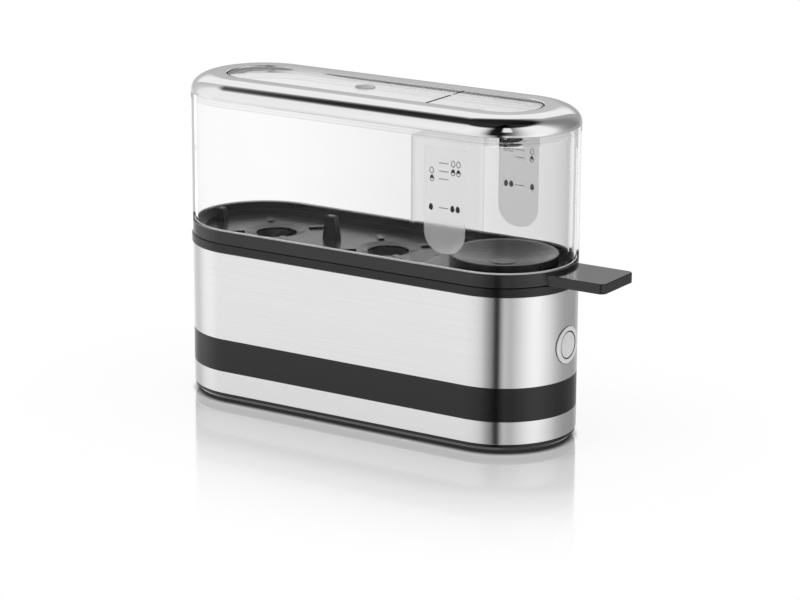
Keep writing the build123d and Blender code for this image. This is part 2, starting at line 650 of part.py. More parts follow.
def terminal_block():
    """Mains terminal block with three screw wells."""
    length, width, height = BLOCK_SIZE
    top = BLOCK_LOW + height
    body = block(length, width, BLOCK_LOW, top, *BLOCK_CENTRE)
    for step in (-1, 0, 1):
        well_x = BLOCK_CENTRE[0] + step * BLOCK_PITCH
        well_y = BLOCK_CENTRE[1] - width / 4
        body -= disc(BLOCK_WELL_RADIUS, top - BLOCK_WELL_DEPTH, top, well_x, well_y)
    return body


def cord_gland():
    """Bushing in the back of the belt, flanged on both sides of the wall."""
    flange = GLAND_RADIUS + GLAND_FLANGE
    inner_end = CHASSIS_INNER - GLAND_INNER_LENGTH
    outer_end = BODY_RADIUS + RIM_LIP
    body = bar_y(GLAND_RADIUS, inner_end, outer_end, GLAND_X, GLAND_Z)
    body += bar_y(flange, BODY_RADIUS, outer_end, GLAND_X, GLAND_Z)
    body += bar_y(flange, CHASSIS_INNER - GLAND_FLANGE, CHASSIS_INNER, GLAND_X, GLAND_Z)
    return body - bar_y(GLAND_BORE_RADIUS, inner_end, outer_end, GLAND_X, GLAND_Z)


def wire(points):
    """Insulated wire through a list of points, with bends as wide as its runs allow."""
    route = [Vector(BODY_X + x, y, z) for x, y, z in points]
    radii = []
    for before, corner, after in zip(route, route[1:], route[2:]):
        turn = (corner - before).get_angle(after - corner)
        run = min((corner - before).length, (after - corner).length)
        radii.append(WIRE_BEND_SHARE * run / tan(radians(turn / 2)))
    line = FilletPolyline(*route, radius=radii)
    return tube(Wire(line.edges()), WIRE_RADIUS)


def wires():
    """The four wires, each from the face it leaves to the face it meets."""
    block_top = BLOCK_LOW + BLOCK_SIZE[2]
    block_y = BLOCK_CENTRE[1] + BLOCK_SIZE[1] / 4
    left, middle = BLOCK_CENTRE[0] - BLOCK_PITCH, BLOCK_CENTRE[0]
    live_end, switch_end = [(x - BODY_X, y, z) for x, y, z in switch_terminals()]
    pin_x = ELEMENT_RIGHT_X + ELEMENT_BEND
    pin_z = PLATE_LOW - ELEMENT_BEND - ELEMENT_DROP - TERMINAL_PIN_LENGTH
    tab_z = PLATE_LOW - THERMOSTAT_HEIGHT - THERMOSTAT_TAB[2]
    low_z = tab_z - WIRE_DROP
    corner_x = WIRE_CORNER[0]
    return {
        "live_wire": [
            (left, block_y, block_top), (left, block_y, block_top + WIRE_RISE), WIRE_CORNER,
            (live_end[0] - WIRE_LEAD, live_end[1], live_end[2]), live_end,
        ],
        "switch_wire": [
            switch_end, (switch_end[0] - WIRE_RISE, switch_end[1], switch_end[2]),
            (corner_x, THERMOSTAT_TAB_Y, low_z + 2 * WIRE_RADIUS),
            (THERMOSTAT_X, THERMOSTAT_TAB_Y, low_z), (THERMOSTAT_X, THERMOSTAT_TAB_Y, tab_z),
        ],
        "thermostat_wire": [
            (THERMOSTAT_X, -THERMOSTAT_TAB_Y, tab_z), (THERMOSTAT_X, -THERMOSTAT_TAB_Y, low_z),
            (pin_x, -ELEMENT_HALF_PITCH, low_z), (pin_x, -ELEMENT_HALF_PITCH, pin_z),
        ],
        "neutral_wire": [
            (middle, block_y, block_top), (middle, block_y, block_top + WIRE_LEAD),
            (pin_x, ELEMENT_HALF_PITCH, low_z), (pin_x, ELEMENT_HALF_PITCH, pin_z),
        ],
    }


def egg_stop(size, x):
    """Tapered upright tab that keeps an egg from rolling along the tray."""
    foot_width, top_width, height = size
    root = -TRAY_FLOOR_THICKNESS / 2
    section = outline_face(
        (-foot_width / 2, root), (foot_width / 2, root), (top_width / 2, height), (-top_width / 2, height),
    )
    tab = extrude(Plane.XZ * section, STOP_THICKNESS / 2, both=True)
    tab = fillet(tab.edges().group_by(Axis.Z)[-1], STOP_THICKNESS / 4)
    return at(x, 0, TRAY_FLOOR) * tab


def tray_handle():
    """Flat tongue that reaches out past the right end."""
    tip = END_X + BODY_RADIUS + HANDLE_OVERHANG
    tongue = Pos((tip + END_X) / 2, 0, RIM_TOP + HANDLE_THICKNESS / 2)
    tongue = tongue * Box(tip - END_X, 2 * HANDLE_HALF_WIDTH, HANDLE_THICKNESS)
    tongue = fillet(tongue.edges().filter_by(Axis.Z).group_by(Axis.X)[-1], HANDLE_CORNER)
    tongue = fillet(tongue.edges().group_by(Axis.Z)[-1].sort_by(Axis.X)[1:], HANDLE_EDGE)
    return tongue - stadium(TRAY_RIM_INNER + TRAY_RIM_WIDTH / 2, RIM_TOP, TRAY_TOP)


def basin():
    """Raised ring with a dished floor, over which the upturned cup stands."""
    foot = (RIM_TOP + TRAY_FLOOR) / 2
    top = TRAY_FLOOR + BASIN_RISE
    inner = BASIN_RADIUS - BASIN_WALL
    hollow_top = top - BASIN_SPHERE_DEPTH - TRAY_FLOOR_THICKNESS
    sphere_radius = (BASIN_RADIUS**2 + BASIN_SPHERE_DEPTH**2) / (2 * BASIN_SPHERE_DEPTH)
    centre = top + sphere_radius - BASIN_SPHERE_DEPTH

    def dish(radius):
        return (radius, centre - sqrt(sphere_radius**2 - radius**2))

    edge, middle, hub = dish(BASIN_RADIUS), dish(BASIN_RADIUS / 2), dish(BASIN_BOSS_RADIUS)
    boss_top = top - BASIN_SPHERE_DEPTH + BASIN_BOSS_HEIGHT
    outline = Polyline(
        hub, (BASIN_BOSS_RADIUS, boss_top), (0, boss_top), (0, hollow_top), (inner, hollow_top), (inner, foot),
        (BASIN_RADIUS + BASIN_WALL, foot), (BASIN_RADIUS + BASIN_WALL, top), edge,
    )
    section = make_face([ThreePointArc(edge, middle, hub), *outline.edges()])
    return at(HALF_STRAIGHT) * revolve(Plane.XZ * section, Axis.Z)


def seat(x):
    """What is cut for one seat: a hole with a shallow cone round it."""
    hole = disc(SEAT_HOLE_RADIUS, TRAY_FLOOR - 2 * TRAY_FLOOR_THICKNESS, TRAY_FLOOR, x)
    cone = Cone(SEAT_HOLE_RADIUS, SEAT_CONE_RADIUS, SEAT_CONE_DEPTH)
    return hole + at(x, 0, TRAY_FLOOR - SEAT_CONE_DEPTH / 2) * cone


def seat_rib(x, turn):
    """Low radial rib beside a seat."""
    reach = SEAT_CONE_RADIUS + SEAT_RIB_WIDTH / 2 + SEAT_RIB_LENGTH / 2
    rib = Box(SEAT_RIB_LENGTH, SEAT_RIB_WIDTH, 2 * SEAT_RIB_HEIGHT)
    return at(x, 0, TRAY_FLOOR) * Rot(0, 0, turn) * Pos(reach, 0, 0) * rib


def egg_tray():
    """Black tray in one piece with its handle."""
    under = TRAY_FLOOR - TRAY_FLOOR_THICKNESS
    skirt = BOWL_INNER - LOOSE_CLEARANCE
    skirt_inner = skirt - TRAY_SKIRT_WALL
    skirt_low = RIM_TOP - TRAY_SKIRT_DEPTH
    section = outline_face(
        (BODY_RADIUS, RIM_TOP), (BODY_RADIUS, TRAY_TOP), (TRAY_RIM_INNER, TRAY_TOP), (TRAY_RIM_INNER, TRAY_LEDGE),
        (TRAY_FLOOR_RADIUS, TRAY_LEDGE), (TRAY_FLOOR_RADIUS, TRAY_FLOOR), (SEAT_CONE_RADIUS, TRAY_FLOOR),
        (SEAT_CONE_RADIUS, under), (skirt_inner, under), (skirt_inner, skirt_low), (skirt, skirt_low),
        (skirt, RIM_TOP),
    )
    section = fillet(section.vertices().group_by(Axis.X)[-1], TRAY_EDGE)
    tray = around(section) + stadium(SEAT_CONE_RADIUS, under, TRAY_FLOOR)
    tray -= disc(BASIN_RADIUS - BASIN_WALL, under, TRAY_FLOOR, HALF_STRAIGHT)
    tray += basin()
    for x in SEAT_X:
        for turn in (45, 135, 225, 315):
            tray += seat_rib(x, turn)
        tray -= seat(x)
    tray += egg_stop(END_STOP, STOP_X[0]) + egg_stop(MIDDLE_STOP, STOP_X[1])
    return tray + tray_handle()


def shoulder(drop, run, rise, top):
    """Quarter ellipse from the wall up to the flat top, both pulled in by the same drop."""
    start = (BODY_RADIUS - drop, top - rise)
    centre = (BODY_RADIUS - drop - run, top - rise)
    return EllipticalCenterArc(centre, run, rise, arc_size=90), start


def hood_shell():
    """Clear hood: wall, outer lip under the crown, shoulder and flat roof with its vent."""
    drop = CROWN_THICKNESS + CROWN_GAP - CROWN_PROUD
    under_top = CROWN_TOP - CROWN_THICKNESS - CROWN_GAP
    outer = stadium(BODY_RADIUS, TRAY_TOP, CROWN_LOW)
    outer += stadium(BODY_RADIUS + HOOD_LIP_PROUD, LIP_LOW, CROWN_LOW)
    outer += dome(drop, CROWN_LOW, under_top)
    outer += stadium(WINDOW_RADIUS - WINDOW_GAP, under_top, CROWN_TOP - ROOF_RECESS)
    inner_top = CROWN_TOP - ROOF_RECESS - ROOF_THICKNESS
    inner = stadium(HOOD_INNER, TRAY_TOP, CROWN_LOW) + dome(HOOD_WALL, CROWN_LOW, inner_top)
    hood = outer - inner
    hood -= disc(VENT_RADIUS, inner_top, CROWN_TOP, VENT_X)
    step = block(ROOF_STEP_WIDTH, 2 * WINDOW_RADIUS, CROWN_TOP - ROOF_RECESS - ROOF_STEP_DEPTH, CROWN_TOP, ROOF_STEP_X)
    return hood - step


def dome(drop, low, top):
    """Solid cap with a quarter-ellipse shoulder all round."""
    arc, start = shoulder(drop, SHOULDER_RUN, top - low, top)
    edge_x = BODY_RADIUS - drop - SHOULDER_RUN
    closing = Polyline((edge_x, top), (edge_x - 1, top), (edge_x - 1, low), start)
    ring = around(make_face([arc, *closing.edges()]))
    return ring + stadium(edge_x, low, top)


def chrome_ring():
    """Chromed crown that caps the hood round its window."""
    drop = -CROWN_PROUD
    low = CROWN_LOW
    bulge_low = CROWN_TOP - SHOULDER_RISE
    outer_arc, start = shoulder(drop, SHOULDER_RUN, SHOULDER_RISE, CROWN_TOP)
    inner_drop = drop + CROWN_THICKNESS
    inner_top = CROWN_TOP - CROWN_THICKNESS
    inner_arc, inner_start = shoulder(inner_drop, SHOULDER_RUN, inner_top - low, inner_top)
    outer_edge = BODY_RADIUS - drop - SHOULDER_RUN
    inner_edge = BODY_RADIUS - inner_drop - SHOULDER_RUN
    top_line = Polyline((outer_edge, CROWN_TOP), (WINDOW_RADIUS, CROWN_TOP), (WINDOW_RADIUS, inner_top),
                        (inner_edge, inner_top))
    wall = Polyline(inner_start, (BODY_RADIUS - drop, low), (BODY_RADIUS - drop, bulge_low))
    return around(make_face([outer_arc, *top_line.edges(), inner_arc, *wall.edges()]))


def cup_prism(inset, low, high):
    """Half-stadium prism inside the hood's right end, shrunk by the inset."""
    radius = CUP_OUTER - inset
    flat = CUP_FLAT_X + inset
    prism = stadium(radius, low, high)
    keep = block(2 * HALF_STRAIGHT, 4 * BODY_RADIUS, low, high, flat + HALF_STRAIGHT)
    return prism & keep


def scale_pads():
    """Raised panels for the fill marks, one at the front and one at the back."""
    middle = sum(SCALE_X) / 2
    width = SCALE_X[1] - SCALE_X[0]
    height = SCALE_HIGH_Z - SCALE_LOW_Z
    face = RectangleRounded(width, 2 * height, SCALE_CORNER)
    panel = extrude(Plane.XZ * face, CUP_OUTER + SCALE_PROUD, both=True)
    panel = at(middle, 0, SCALE_HIGH_Z) * panel
    panel &= block(width, 4 * BODY_RADIUS, SCALE_LOW_Z, SCALE_HIGH_Z, middle)
    return panel - block(width, 2 * CUP_INNER, SCALE_LOW_Z, SCALE_HIGH_Z, middle)


def measuring_cup():
    """Clear cup standing on its brim, with a recessed well in its floor for the pick."""
    cup = cup_prism(0, TRAY_LEDGE, CUP_TOP)
    upright = cup.edges().filter_by(Axis.Z).group_by(Axis.X)[0]
    cup = fillet(upright, CUP_CORNER)
    cup = fillet(cup.edges().group_by(Axis.Z)[-1], CUP_TOP_EDGE)
    cup -= cup_prism(CUP_WALL, TRAY_LEDGE, CUP_TOP - CUP_WALL)
    well_low = CUP_TOP - PICK_WELL_DEPTH
    cup += disc(PICK_WELL_RADIUS + CUP_WALL, well_low - CUP_WALL, CUP_TOP - CUP_WALL, PICK_X)
    cup -= disc(PICK_WELL_RADIUS, well_low, CUP_TOP, PICK_X)
    cup -= disc(PICK_RADIUS + SCREW_CLEARANCE, well_low - PICK_SEAT_DEPTH, well_low, PICK_X)
    return cup + scale_pads()


def egg_pick():
    """Steel pin that pricks the egg's blunt end, below the level of the cup's floor."""
    low = CUP_TOP - PICK_WELL_DEPTH - PICK_SEAT_DEPTH
    shank_top = CUP_TOP - PICK_TIP_LENGTH - SLEEVE_CLEARANCE
    tip = Cone(PICK_RADIUS, PICK_RADIUS / 6, PICK_TIP_LENGTH)
    return disc(PICK_RADIUS, low, shank_top, PICK_X) + at(PICK_X, 0, shank_top + PICK_TIP_LENGTH / 2) * tip


def group(solids):
    """Several separate solids kept in one node."""
    return Compound(children=list(solids))


def build_nodes():
    """Every piece by its node name."""
    nodes = {
        "base_plate": base_plate(),
        "lower_steel_band": lower_steel_band(),
        "chassis": chassis(),
        "upper_steel_shell": upper_steel_shell(),
        "top_rim": top_rim(),
        "bowl_gasket": bowl_gasket(),
        "heating_bowl": heating_bowl(),
        "heater_plate": heater_plate(),
        "heating_element": heating_element(),
        "thermostat": thermostat(),
        "thermal_fuse": thermal_fuse(),
        "button_bezel": button_bezel(),
        "button_cap": button_cap(),
        "button_spring": button_spring(),
        "switch_housing": switch_housing(),
        "switch_bracket": switch_bracket(),
        "circuit_board": circuit_board(),
        "buzzer": buzzer(),
        "terminal_block": terminal_block(),
        "cord_gland": cord_gland(),
        "egg_tray": egg_tray(),
        "hood_shell": hood_shell(),
        "chrome_ring": chrome_ring(),
        "measuring_cup": measuring_cup(),
        "egg_pick": egg_pick(),
    }
    foot_names = ("foot_back_left", "foot_front_left", "foot_back_right", "foot_front_right")
    foot_places = [(x, y) for x in (-FOOT_X, FOOT_X) for y in (FOOT_Y, -FOOT_Y)]
    for name, place in zip(foot_names, foot_places):
        nodes[name] = foot(*place)
    for name, x in zip(("heater_strap_left", "heater_strap_right"), STRAP_X):
        nodes[name] = heater_strap(x)
    for name, points in wires().items():
        nodes[name] = wire(points)
    ear_low = PLATE_LOW - THERMOSTAT_EAR[2]
    ear_places = [THERMOSTAT_X - THERMOSTAT_SCREW_X, THERMOSTAT_X + THERMOSTAT_SCREW_X]
    board_top = BOARD_LOW + BOARD_SIZE[2]
    post_x = CRADLE_X - BODY_X
    base_seat = FOOT_STAND + COUNTERBORE_DEPTH
    nodes["bowl_nuts"] = group(hex_nut(x) for x in STRAP_X)
    nodes["strap_screws"] = group(screw(CASE_SCREW, STRAP_TOP, x, y) for x, y in boss_places())
    nodes["base_screws"] = group(screw(CASE_SCREW, base_seat, x, y, down=False) for x, y in boss_places())
    nodes["board_screws"] = group(screw(SMALL_SCREW, board_top, x, y) for x, y in board_holes())
    nodes["thermostat_screws"] = group(screw(SMALL_SCREW, ear_low, x, 0, down=False) for x in ear_places)
    nodes["bracket_screws"] = group(
        screw(CASE_SCREW, SWITCH_LOW, post_x, side * CRADLE_POST_Y) for side in (-1, 1)
    )
    return nodes


for node_name, shape in build_nodes().items():
    export_step(shape, f"parts/{node_name}.step")
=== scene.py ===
"""Looks of a slim electric egg cooker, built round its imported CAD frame.

Lengths are in metres, +Z is up and the front faces -Y.
"""

from __future__ import annotations

import logging
from collections.abc import Callable, Sequence
from dataclasses import dataclass
from enum import Enum
from functools import cached_property
from math import cos, hypot, pi, radians, sin, tan

import bmesh
import bpy
from mathutils import Matrix, Vector

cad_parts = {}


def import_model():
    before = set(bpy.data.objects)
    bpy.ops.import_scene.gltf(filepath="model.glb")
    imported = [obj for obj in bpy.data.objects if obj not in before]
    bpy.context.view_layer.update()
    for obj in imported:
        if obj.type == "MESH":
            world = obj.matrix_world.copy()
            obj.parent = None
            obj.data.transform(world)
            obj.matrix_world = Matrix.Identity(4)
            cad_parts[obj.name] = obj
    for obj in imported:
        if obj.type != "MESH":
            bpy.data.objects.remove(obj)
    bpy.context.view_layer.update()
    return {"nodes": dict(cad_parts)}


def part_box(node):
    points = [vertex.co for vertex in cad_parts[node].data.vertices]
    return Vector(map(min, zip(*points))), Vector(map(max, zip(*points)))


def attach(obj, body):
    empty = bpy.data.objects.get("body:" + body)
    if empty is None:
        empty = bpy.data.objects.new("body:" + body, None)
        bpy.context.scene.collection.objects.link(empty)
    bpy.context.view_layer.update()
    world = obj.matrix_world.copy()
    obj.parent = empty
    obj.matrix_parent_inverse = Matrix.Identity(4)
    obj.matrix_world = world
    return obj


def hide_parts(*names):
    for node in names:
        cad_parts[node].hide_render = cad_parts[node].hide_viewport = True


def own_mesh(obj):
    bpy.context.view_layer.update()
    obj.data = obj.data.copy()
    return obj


Piece = bpy.types.Object
Material = bpy.types.Material
Tree = bpy.types.NodeTree
Node = bpy.types.Node
Socket = bpy.types.NodeSocket
Looks = dict[str, Material]
Colour = tuple[float, float, float, float]
Pair = tuple[float, float]
Test = Callable[[list[Vector]], bool]

LOG = logging.getLogger("egg_cooker")
# Places closer than this are the same, in metres.
TOLERANCE = 1e-5
# A face whose normal rises less than this stands upright.
UPRIGHT_NORMAL = 0.5


def mm(value: float) -> float:
    """Returns millimetres as metres."""
    return value / 1000


# How far a cutting tool stands out of what it cuts.
OVERLAP = mm(1)
KEY_HEIGHT = mm(43.4)


class Body(Enum):
    """The frame's bodies that new pieces ride on."""

    BASE = "base"
    HOOD = "hood"
    CUP = "cup"


class Pick(Enum):
    """What is selected in edit mode."""

    POINTS = "VERT"
    EDGES = "EDGE"
    FACES = "FACE"


class Fill(Enum):
    """How much of a scale mark is printed."""

    HOLLOW = "hollow"
    HALF = "half"
    SOLID = "solid"


# Modelling tools


class Bench:
    """Blender's modelling tools, used as they are by hand."""

    @staticmethod
    def clear() -> None:
        """Leaves edit mode and selects nothing."""
        if bpy.context.object and bpy.context.object.mode != "OBJECT":
            bpy.ops.object.mode_set(mode="OBJECT")
        bpy.ops.object.select_all(action="DESELECT")

    @staticmethod
    def take(piece: Piece) -> None:
        """Makes a piece the only selected and active object.

        Args:
            piece: The object to work on.
        """
        Bench.clear()
        piece.select_set(True)
        bpy.context.view_layer.objects.active = piece

    @staticmethod
    def edit(piece: Piece) -> None:
        """Opens a piece in edit mode."""
        Bench.take(piece)
        bpy.ops.object.mode_set(mode="EDIT")

    @staticmethod
    def choose(piece: Piece, kind: Pick, test: Test) -> None:
        """Selects the points, edges or faces whose corners pass a test.

        Args:
            piece: The object that is open in edit mode.
            kind: What to select.
            test: Takes the corner points of one element.
        """
        bpy.ops.mesh.select_mode(type=kind.value)
        bpy.ops.mesh.select_all(action="DESELECT")
        mesh = bmesh.from_edit_mesh(piece.data)
        if kind is Pick.POINTS:
            for point in mesh.verts:
                point.select_set(test([point.co]))
        else:
            for element in mesh.edges if kind is Pick.EDGES else mesh.faces:
                element.select_set(test([point.co for point in element.verts]))
        mesh.select_flush_mode()
        bmesh.update_edit_mesh(piece.data)

    @staticmethod
    def box(size: Sequence[float], centre: Sequence[float]) -> Piece:
        """Adds a box.

        Args:
            size: Its lengths along X, Y and Z.
            centre: Its middle.

        Returns:
            The new object.
        """
        Bench.clear()
        bpy.ops.mesh.primitive_cube_add(size=1, location=centre, scale=size)
        bpy.ops.object.transform_apply(location=True, rotation=True, scale=True)
        return bpy.context.object

    @staticmethod
    def rod(radius: float, start: Vector, end: Vector, sides: int = 64) -> Piece:
        """Adds a round bar between two points.

        Args:
            radius: The bar's radius.
            start: The middle of one end.
            end: The middle of the other end.
            sides: How many flats it has.

        Returns:
            The new object.
        """
        Bench.clear()
        run = end - start
        turn = run.to_track_quat("Z", "Y").to_euler()
        bpy.ops.mesh.primitive_cylinder_add(
            vertices=sides, radius=radius, depth=run.length, location=(start + end) / 2, rotation=turn
        )
        bpy.ops.object.transform_apply(location=True, rotation=True, scale=True)
        return bpy.context.object

    @staticmethod
    def modify(piece: Piece, kind: str, **settings: object) -> None:
        """Adds a modifier to a piece and applies it.

        Args:
            piece: The object to change.
            kind: The modifier's type.
            settings: The modifier's settings by name.
        """
        Bench.take(piece)
        modifier = piece.modifiers.new(kind.lower(), kind)
        for name, value in settings.items():
            setattr(modifier, name, value)
        bpy.ops.object.modifier_apply(modifier=modifier.name)

    @staticmethod
    def combine(piece: Piece, tool: Piece, operation: str) -> None:
        """Cuts, joins or meets a piece with a tool shape, which is then removed.

        Args:
            piece: The object to change.
            tool: The shape that changes it.
            operation: DIFFERENCE, UNION or INTERSECT.
        """
        Bench.modify(piece, "BOOLEAN", object=tool, operation=operation, solver="EXACT")
        bpy.data.objects.remove(tool, do_unlink=True)

    @staticmethod
    def tidy(piece: Piece) -> None:
        """Merges doubled points and turns every face outwards.

        Args:
            piece: The object to change.
        """
        Bench.edit(piece)
        bpy.ops.mesh.select_all(action="SELECT")
        bpy.ops.mesh.remove_doubles(threshold=TOLERANCE / 2)
        bpy.ops.mesh.normals_make_consistent(inside=False)
        bpy.ops.object.mode_set(mode="OBJECT")

    @staticmethod
    def paint(piece: Piece, material: Material, test: Test) -> None:
        """Gives the faces whose corners pass a test a material of their own.

        Args:
            piece: The piece, already dressed.
            material: The faces' material.
            test: Takes the corner points of one face.
        """
        piece.data.materials.append(material)
        Bench.edit(piece)
        Bench.choose(piece, Pick.FACES, test)
        piece.active_material_index = len(piece.data.materials) - 1
        bpy.ops.object.material_slot_assign()
        bpy.ops.object.mode_set(mode="OBJECT")

    @staticmethod
    def finish(piece: Piece, name: str, angle: float = 32.0) -> Piece:
        """Names a piece, fixes its place in its mesh and smooths its gentle edges.

        Args:
            piece: The finished object.
            name: Its name in the table.
            angle: Edges sharper than this many degrees stay sharp.

        Returns:
            The same object.
        """
        Bench.take(piece)
        bpy.ops.object.transform_apply(location=True, rotation=True, scale=True)
        bpy.ops.object.shade_smooth_by_angle(angle=radians(angle))
        Bench.modify(piece, "WEIGHTED_NORMAL", keep_sharp=True, weight=100)
        piece.name = name
        piece.data.name = name
        return piece


def on_plane(axis: int, value: float) -> Test:
    """Makes a test for elements that lie in a plane across an axis.

    Args:
        axis: 0, 1 or 2 for X, Y or Z.
        value: The plane's place on that axis.

    Returns:
        A test for Bench.choose.
    """
    return lambda corners: all(abs(corner[axis] - value) < TOLERANCE for corner in corners)


@dataclass(frozen=True)
class Corner:
    """One corner of a section: its place and how far it is rounded."""

    radius: float
    height: float
    rounding: float = 0.0


def section_points(corners: Sequence[Corner], steps: int = 6) -> list[Pair]:
    """Rounds the corners of a closed section.

    Args:
        corners: The section's corners in order.
        steps: How many straight pieces each rounding has.

    Returns:
        The section's points as radius and height.
    """
    points: list[Pair] = []
    for index, corner in enumerate(corners):
        place = Vector((corner.radius, corner.height))
        if corner.rounding <= 0:
            points.append(tuple(place))
            continue
        before = corners[index - 1]
        after = corners[(index + 1) % len(corners)]
        to_before = (Vector((before.radius, before.height)) - place).normalized()
        to_after = (Vector((after.radius, after.height)) - place).normalized()
        half_angle = to_before.angle(to_after) / 2
        reach = corner.rounding / tan(half_angle)
        centre = place + (to_before + to_after).normalized() * corner.rounding / sin(half_angle)
        first = place + to_before * reach - centre
        last = place + to_after * reach - centre
        for step in range(steps + 1):
            points.append(tuple(centre + first.slerp(last, step / steps).normalized() * corner.rounding))
    return points


def quarter_ellipse(edge: float, top: float, run: float, rise: float, steps: int = 18) -> list[Pair]:
    """Gives the shoulder from a wall up to a flat top.

    Args:
        edge: The wall's radius.
        top: The flat top's height.
        run: How far in the shoulder goes.
        rise: How far up it goes.
        steps: How many straight pieces it has.

    Returns:
        Points from the wall to the top, as radius and height.
    """
    turns = [pi / 2 * step / steps for step in range(steps + 1)]
    return [(edge - run + run * cos(turn), top - rise + rise * sin(turn)) for turn in turns]


@dataclass(frozen=True)
class Outline:
    """The plan shape that the shells follow: two half circles joined by straight sides."""

    centre_x: float = mm(-11.45)
    half_straight: float = mm(60.9)
    radius: float = mm(31.1)
    steps: int = 56

    @property
    def end_x(self) -> float:
        """Returns where the right half circle has its centre."""
        return self.centre_x + self.half_straight

    def reach(self, point: Vector) -> float:
        """Returns how far a point lies from the plan shape's middle line."""
        beyond = max(abs(point.x - self.centre_x) - self.half_straight, 0.0)
        return hypot(beyond, point.y)

    def turned(self, points: Sequence[Pair]) -> Piece:
        """Draws a closed section and carries it once round the plan shape.

        Args:
            points: The section as radius and height.

        Returns:
            A closed shell in its place.
        """
        piece = self._drawn(points)
        bpy.ops.mesh.select_all(action="SELECT")
        bpy.ops.mesh.spin(steps=self.steps, angle=pi, center=(self.half_straight, 0, 0), axis=(0, 0, -1))
        Bench.choose(piece, Pick.EDGES, on_plane(0, self.half_straight))
        bpy.ops.mesh.extrude_edges_move(TRANSFORM_OT_translate={"value": (-self.half_straight, 0, 0)})
        bpy.ops.object.mode_set(mode="OBJECT")
        Bench.modify(piece, "MIRROR", use_axis=(True, False, False), merge_threshold=TOLERANCE)
        self._open_middle(piece)
        Bench.tidy(piece)
        piece.location.x = self.centre_x
        Bench.take(piece)
        bpy.ops.object.transform_apply(location=True, rotation=True, scale=True)
        return piece

    @staticmethod
    def _open_middle(piece: Piece) -> None:
        """Removes the walls that a section reaching the middle leaves inside the piece.

        Args:
            piece: The shell.
        """
        Bench.edit(piece)
        Bench.choose(piece, Pick.FACES, on_plane(1, 0))
        bpy.ops.mesh.delete(type="ONLY_FACE")
        bpy.ops.object.mode_set(mode="OBJECT")

    def _drawn(self, points: Sequence[Pair]) -> Piece:
        """Draws a closed line in front of the right end's centre, point by point.

        Args:
            points: The section as radius and height.

        Returns:
            The line's object, open in edit mode.
        """
        Bench.clear()
        bpy.ops.mesh.primitive_plane_add(size=mm(1))
        piece = bpy.context.object
        bpy.ops.object.mode_set(mode="EDIT")
        bpy.ops.mesh.select_mode(type=Pick.POINTS.value)
        bpy.ops.mesh.select_all(action="SELECT")
        bpy.ops.mesh.merge(type="CENTER")
        radius, height = points[0]
        bpy.ops.transform.translate(value=(self.half_straight, -radius, height))
        for (radius, height), (next_radius, next_height) in zip(points, [*points[1:], points[0]]):
            step = (0, radius - next_radius, next_height - height)
            bpy.ops.mesh.extrude_vertices_move(TRANSFORM_OT_translate={"value": step})
        bpy.ops.mesh.select_all(action="SELECT")
        bpy.ops.mesh.remove_doubles(threshold=TOLERANCE / 2)
        return piece

# Materials


def grey(value: float) -> Colour:
    """Returns a neutral colour."""
    return (value, value, value, 1.0)


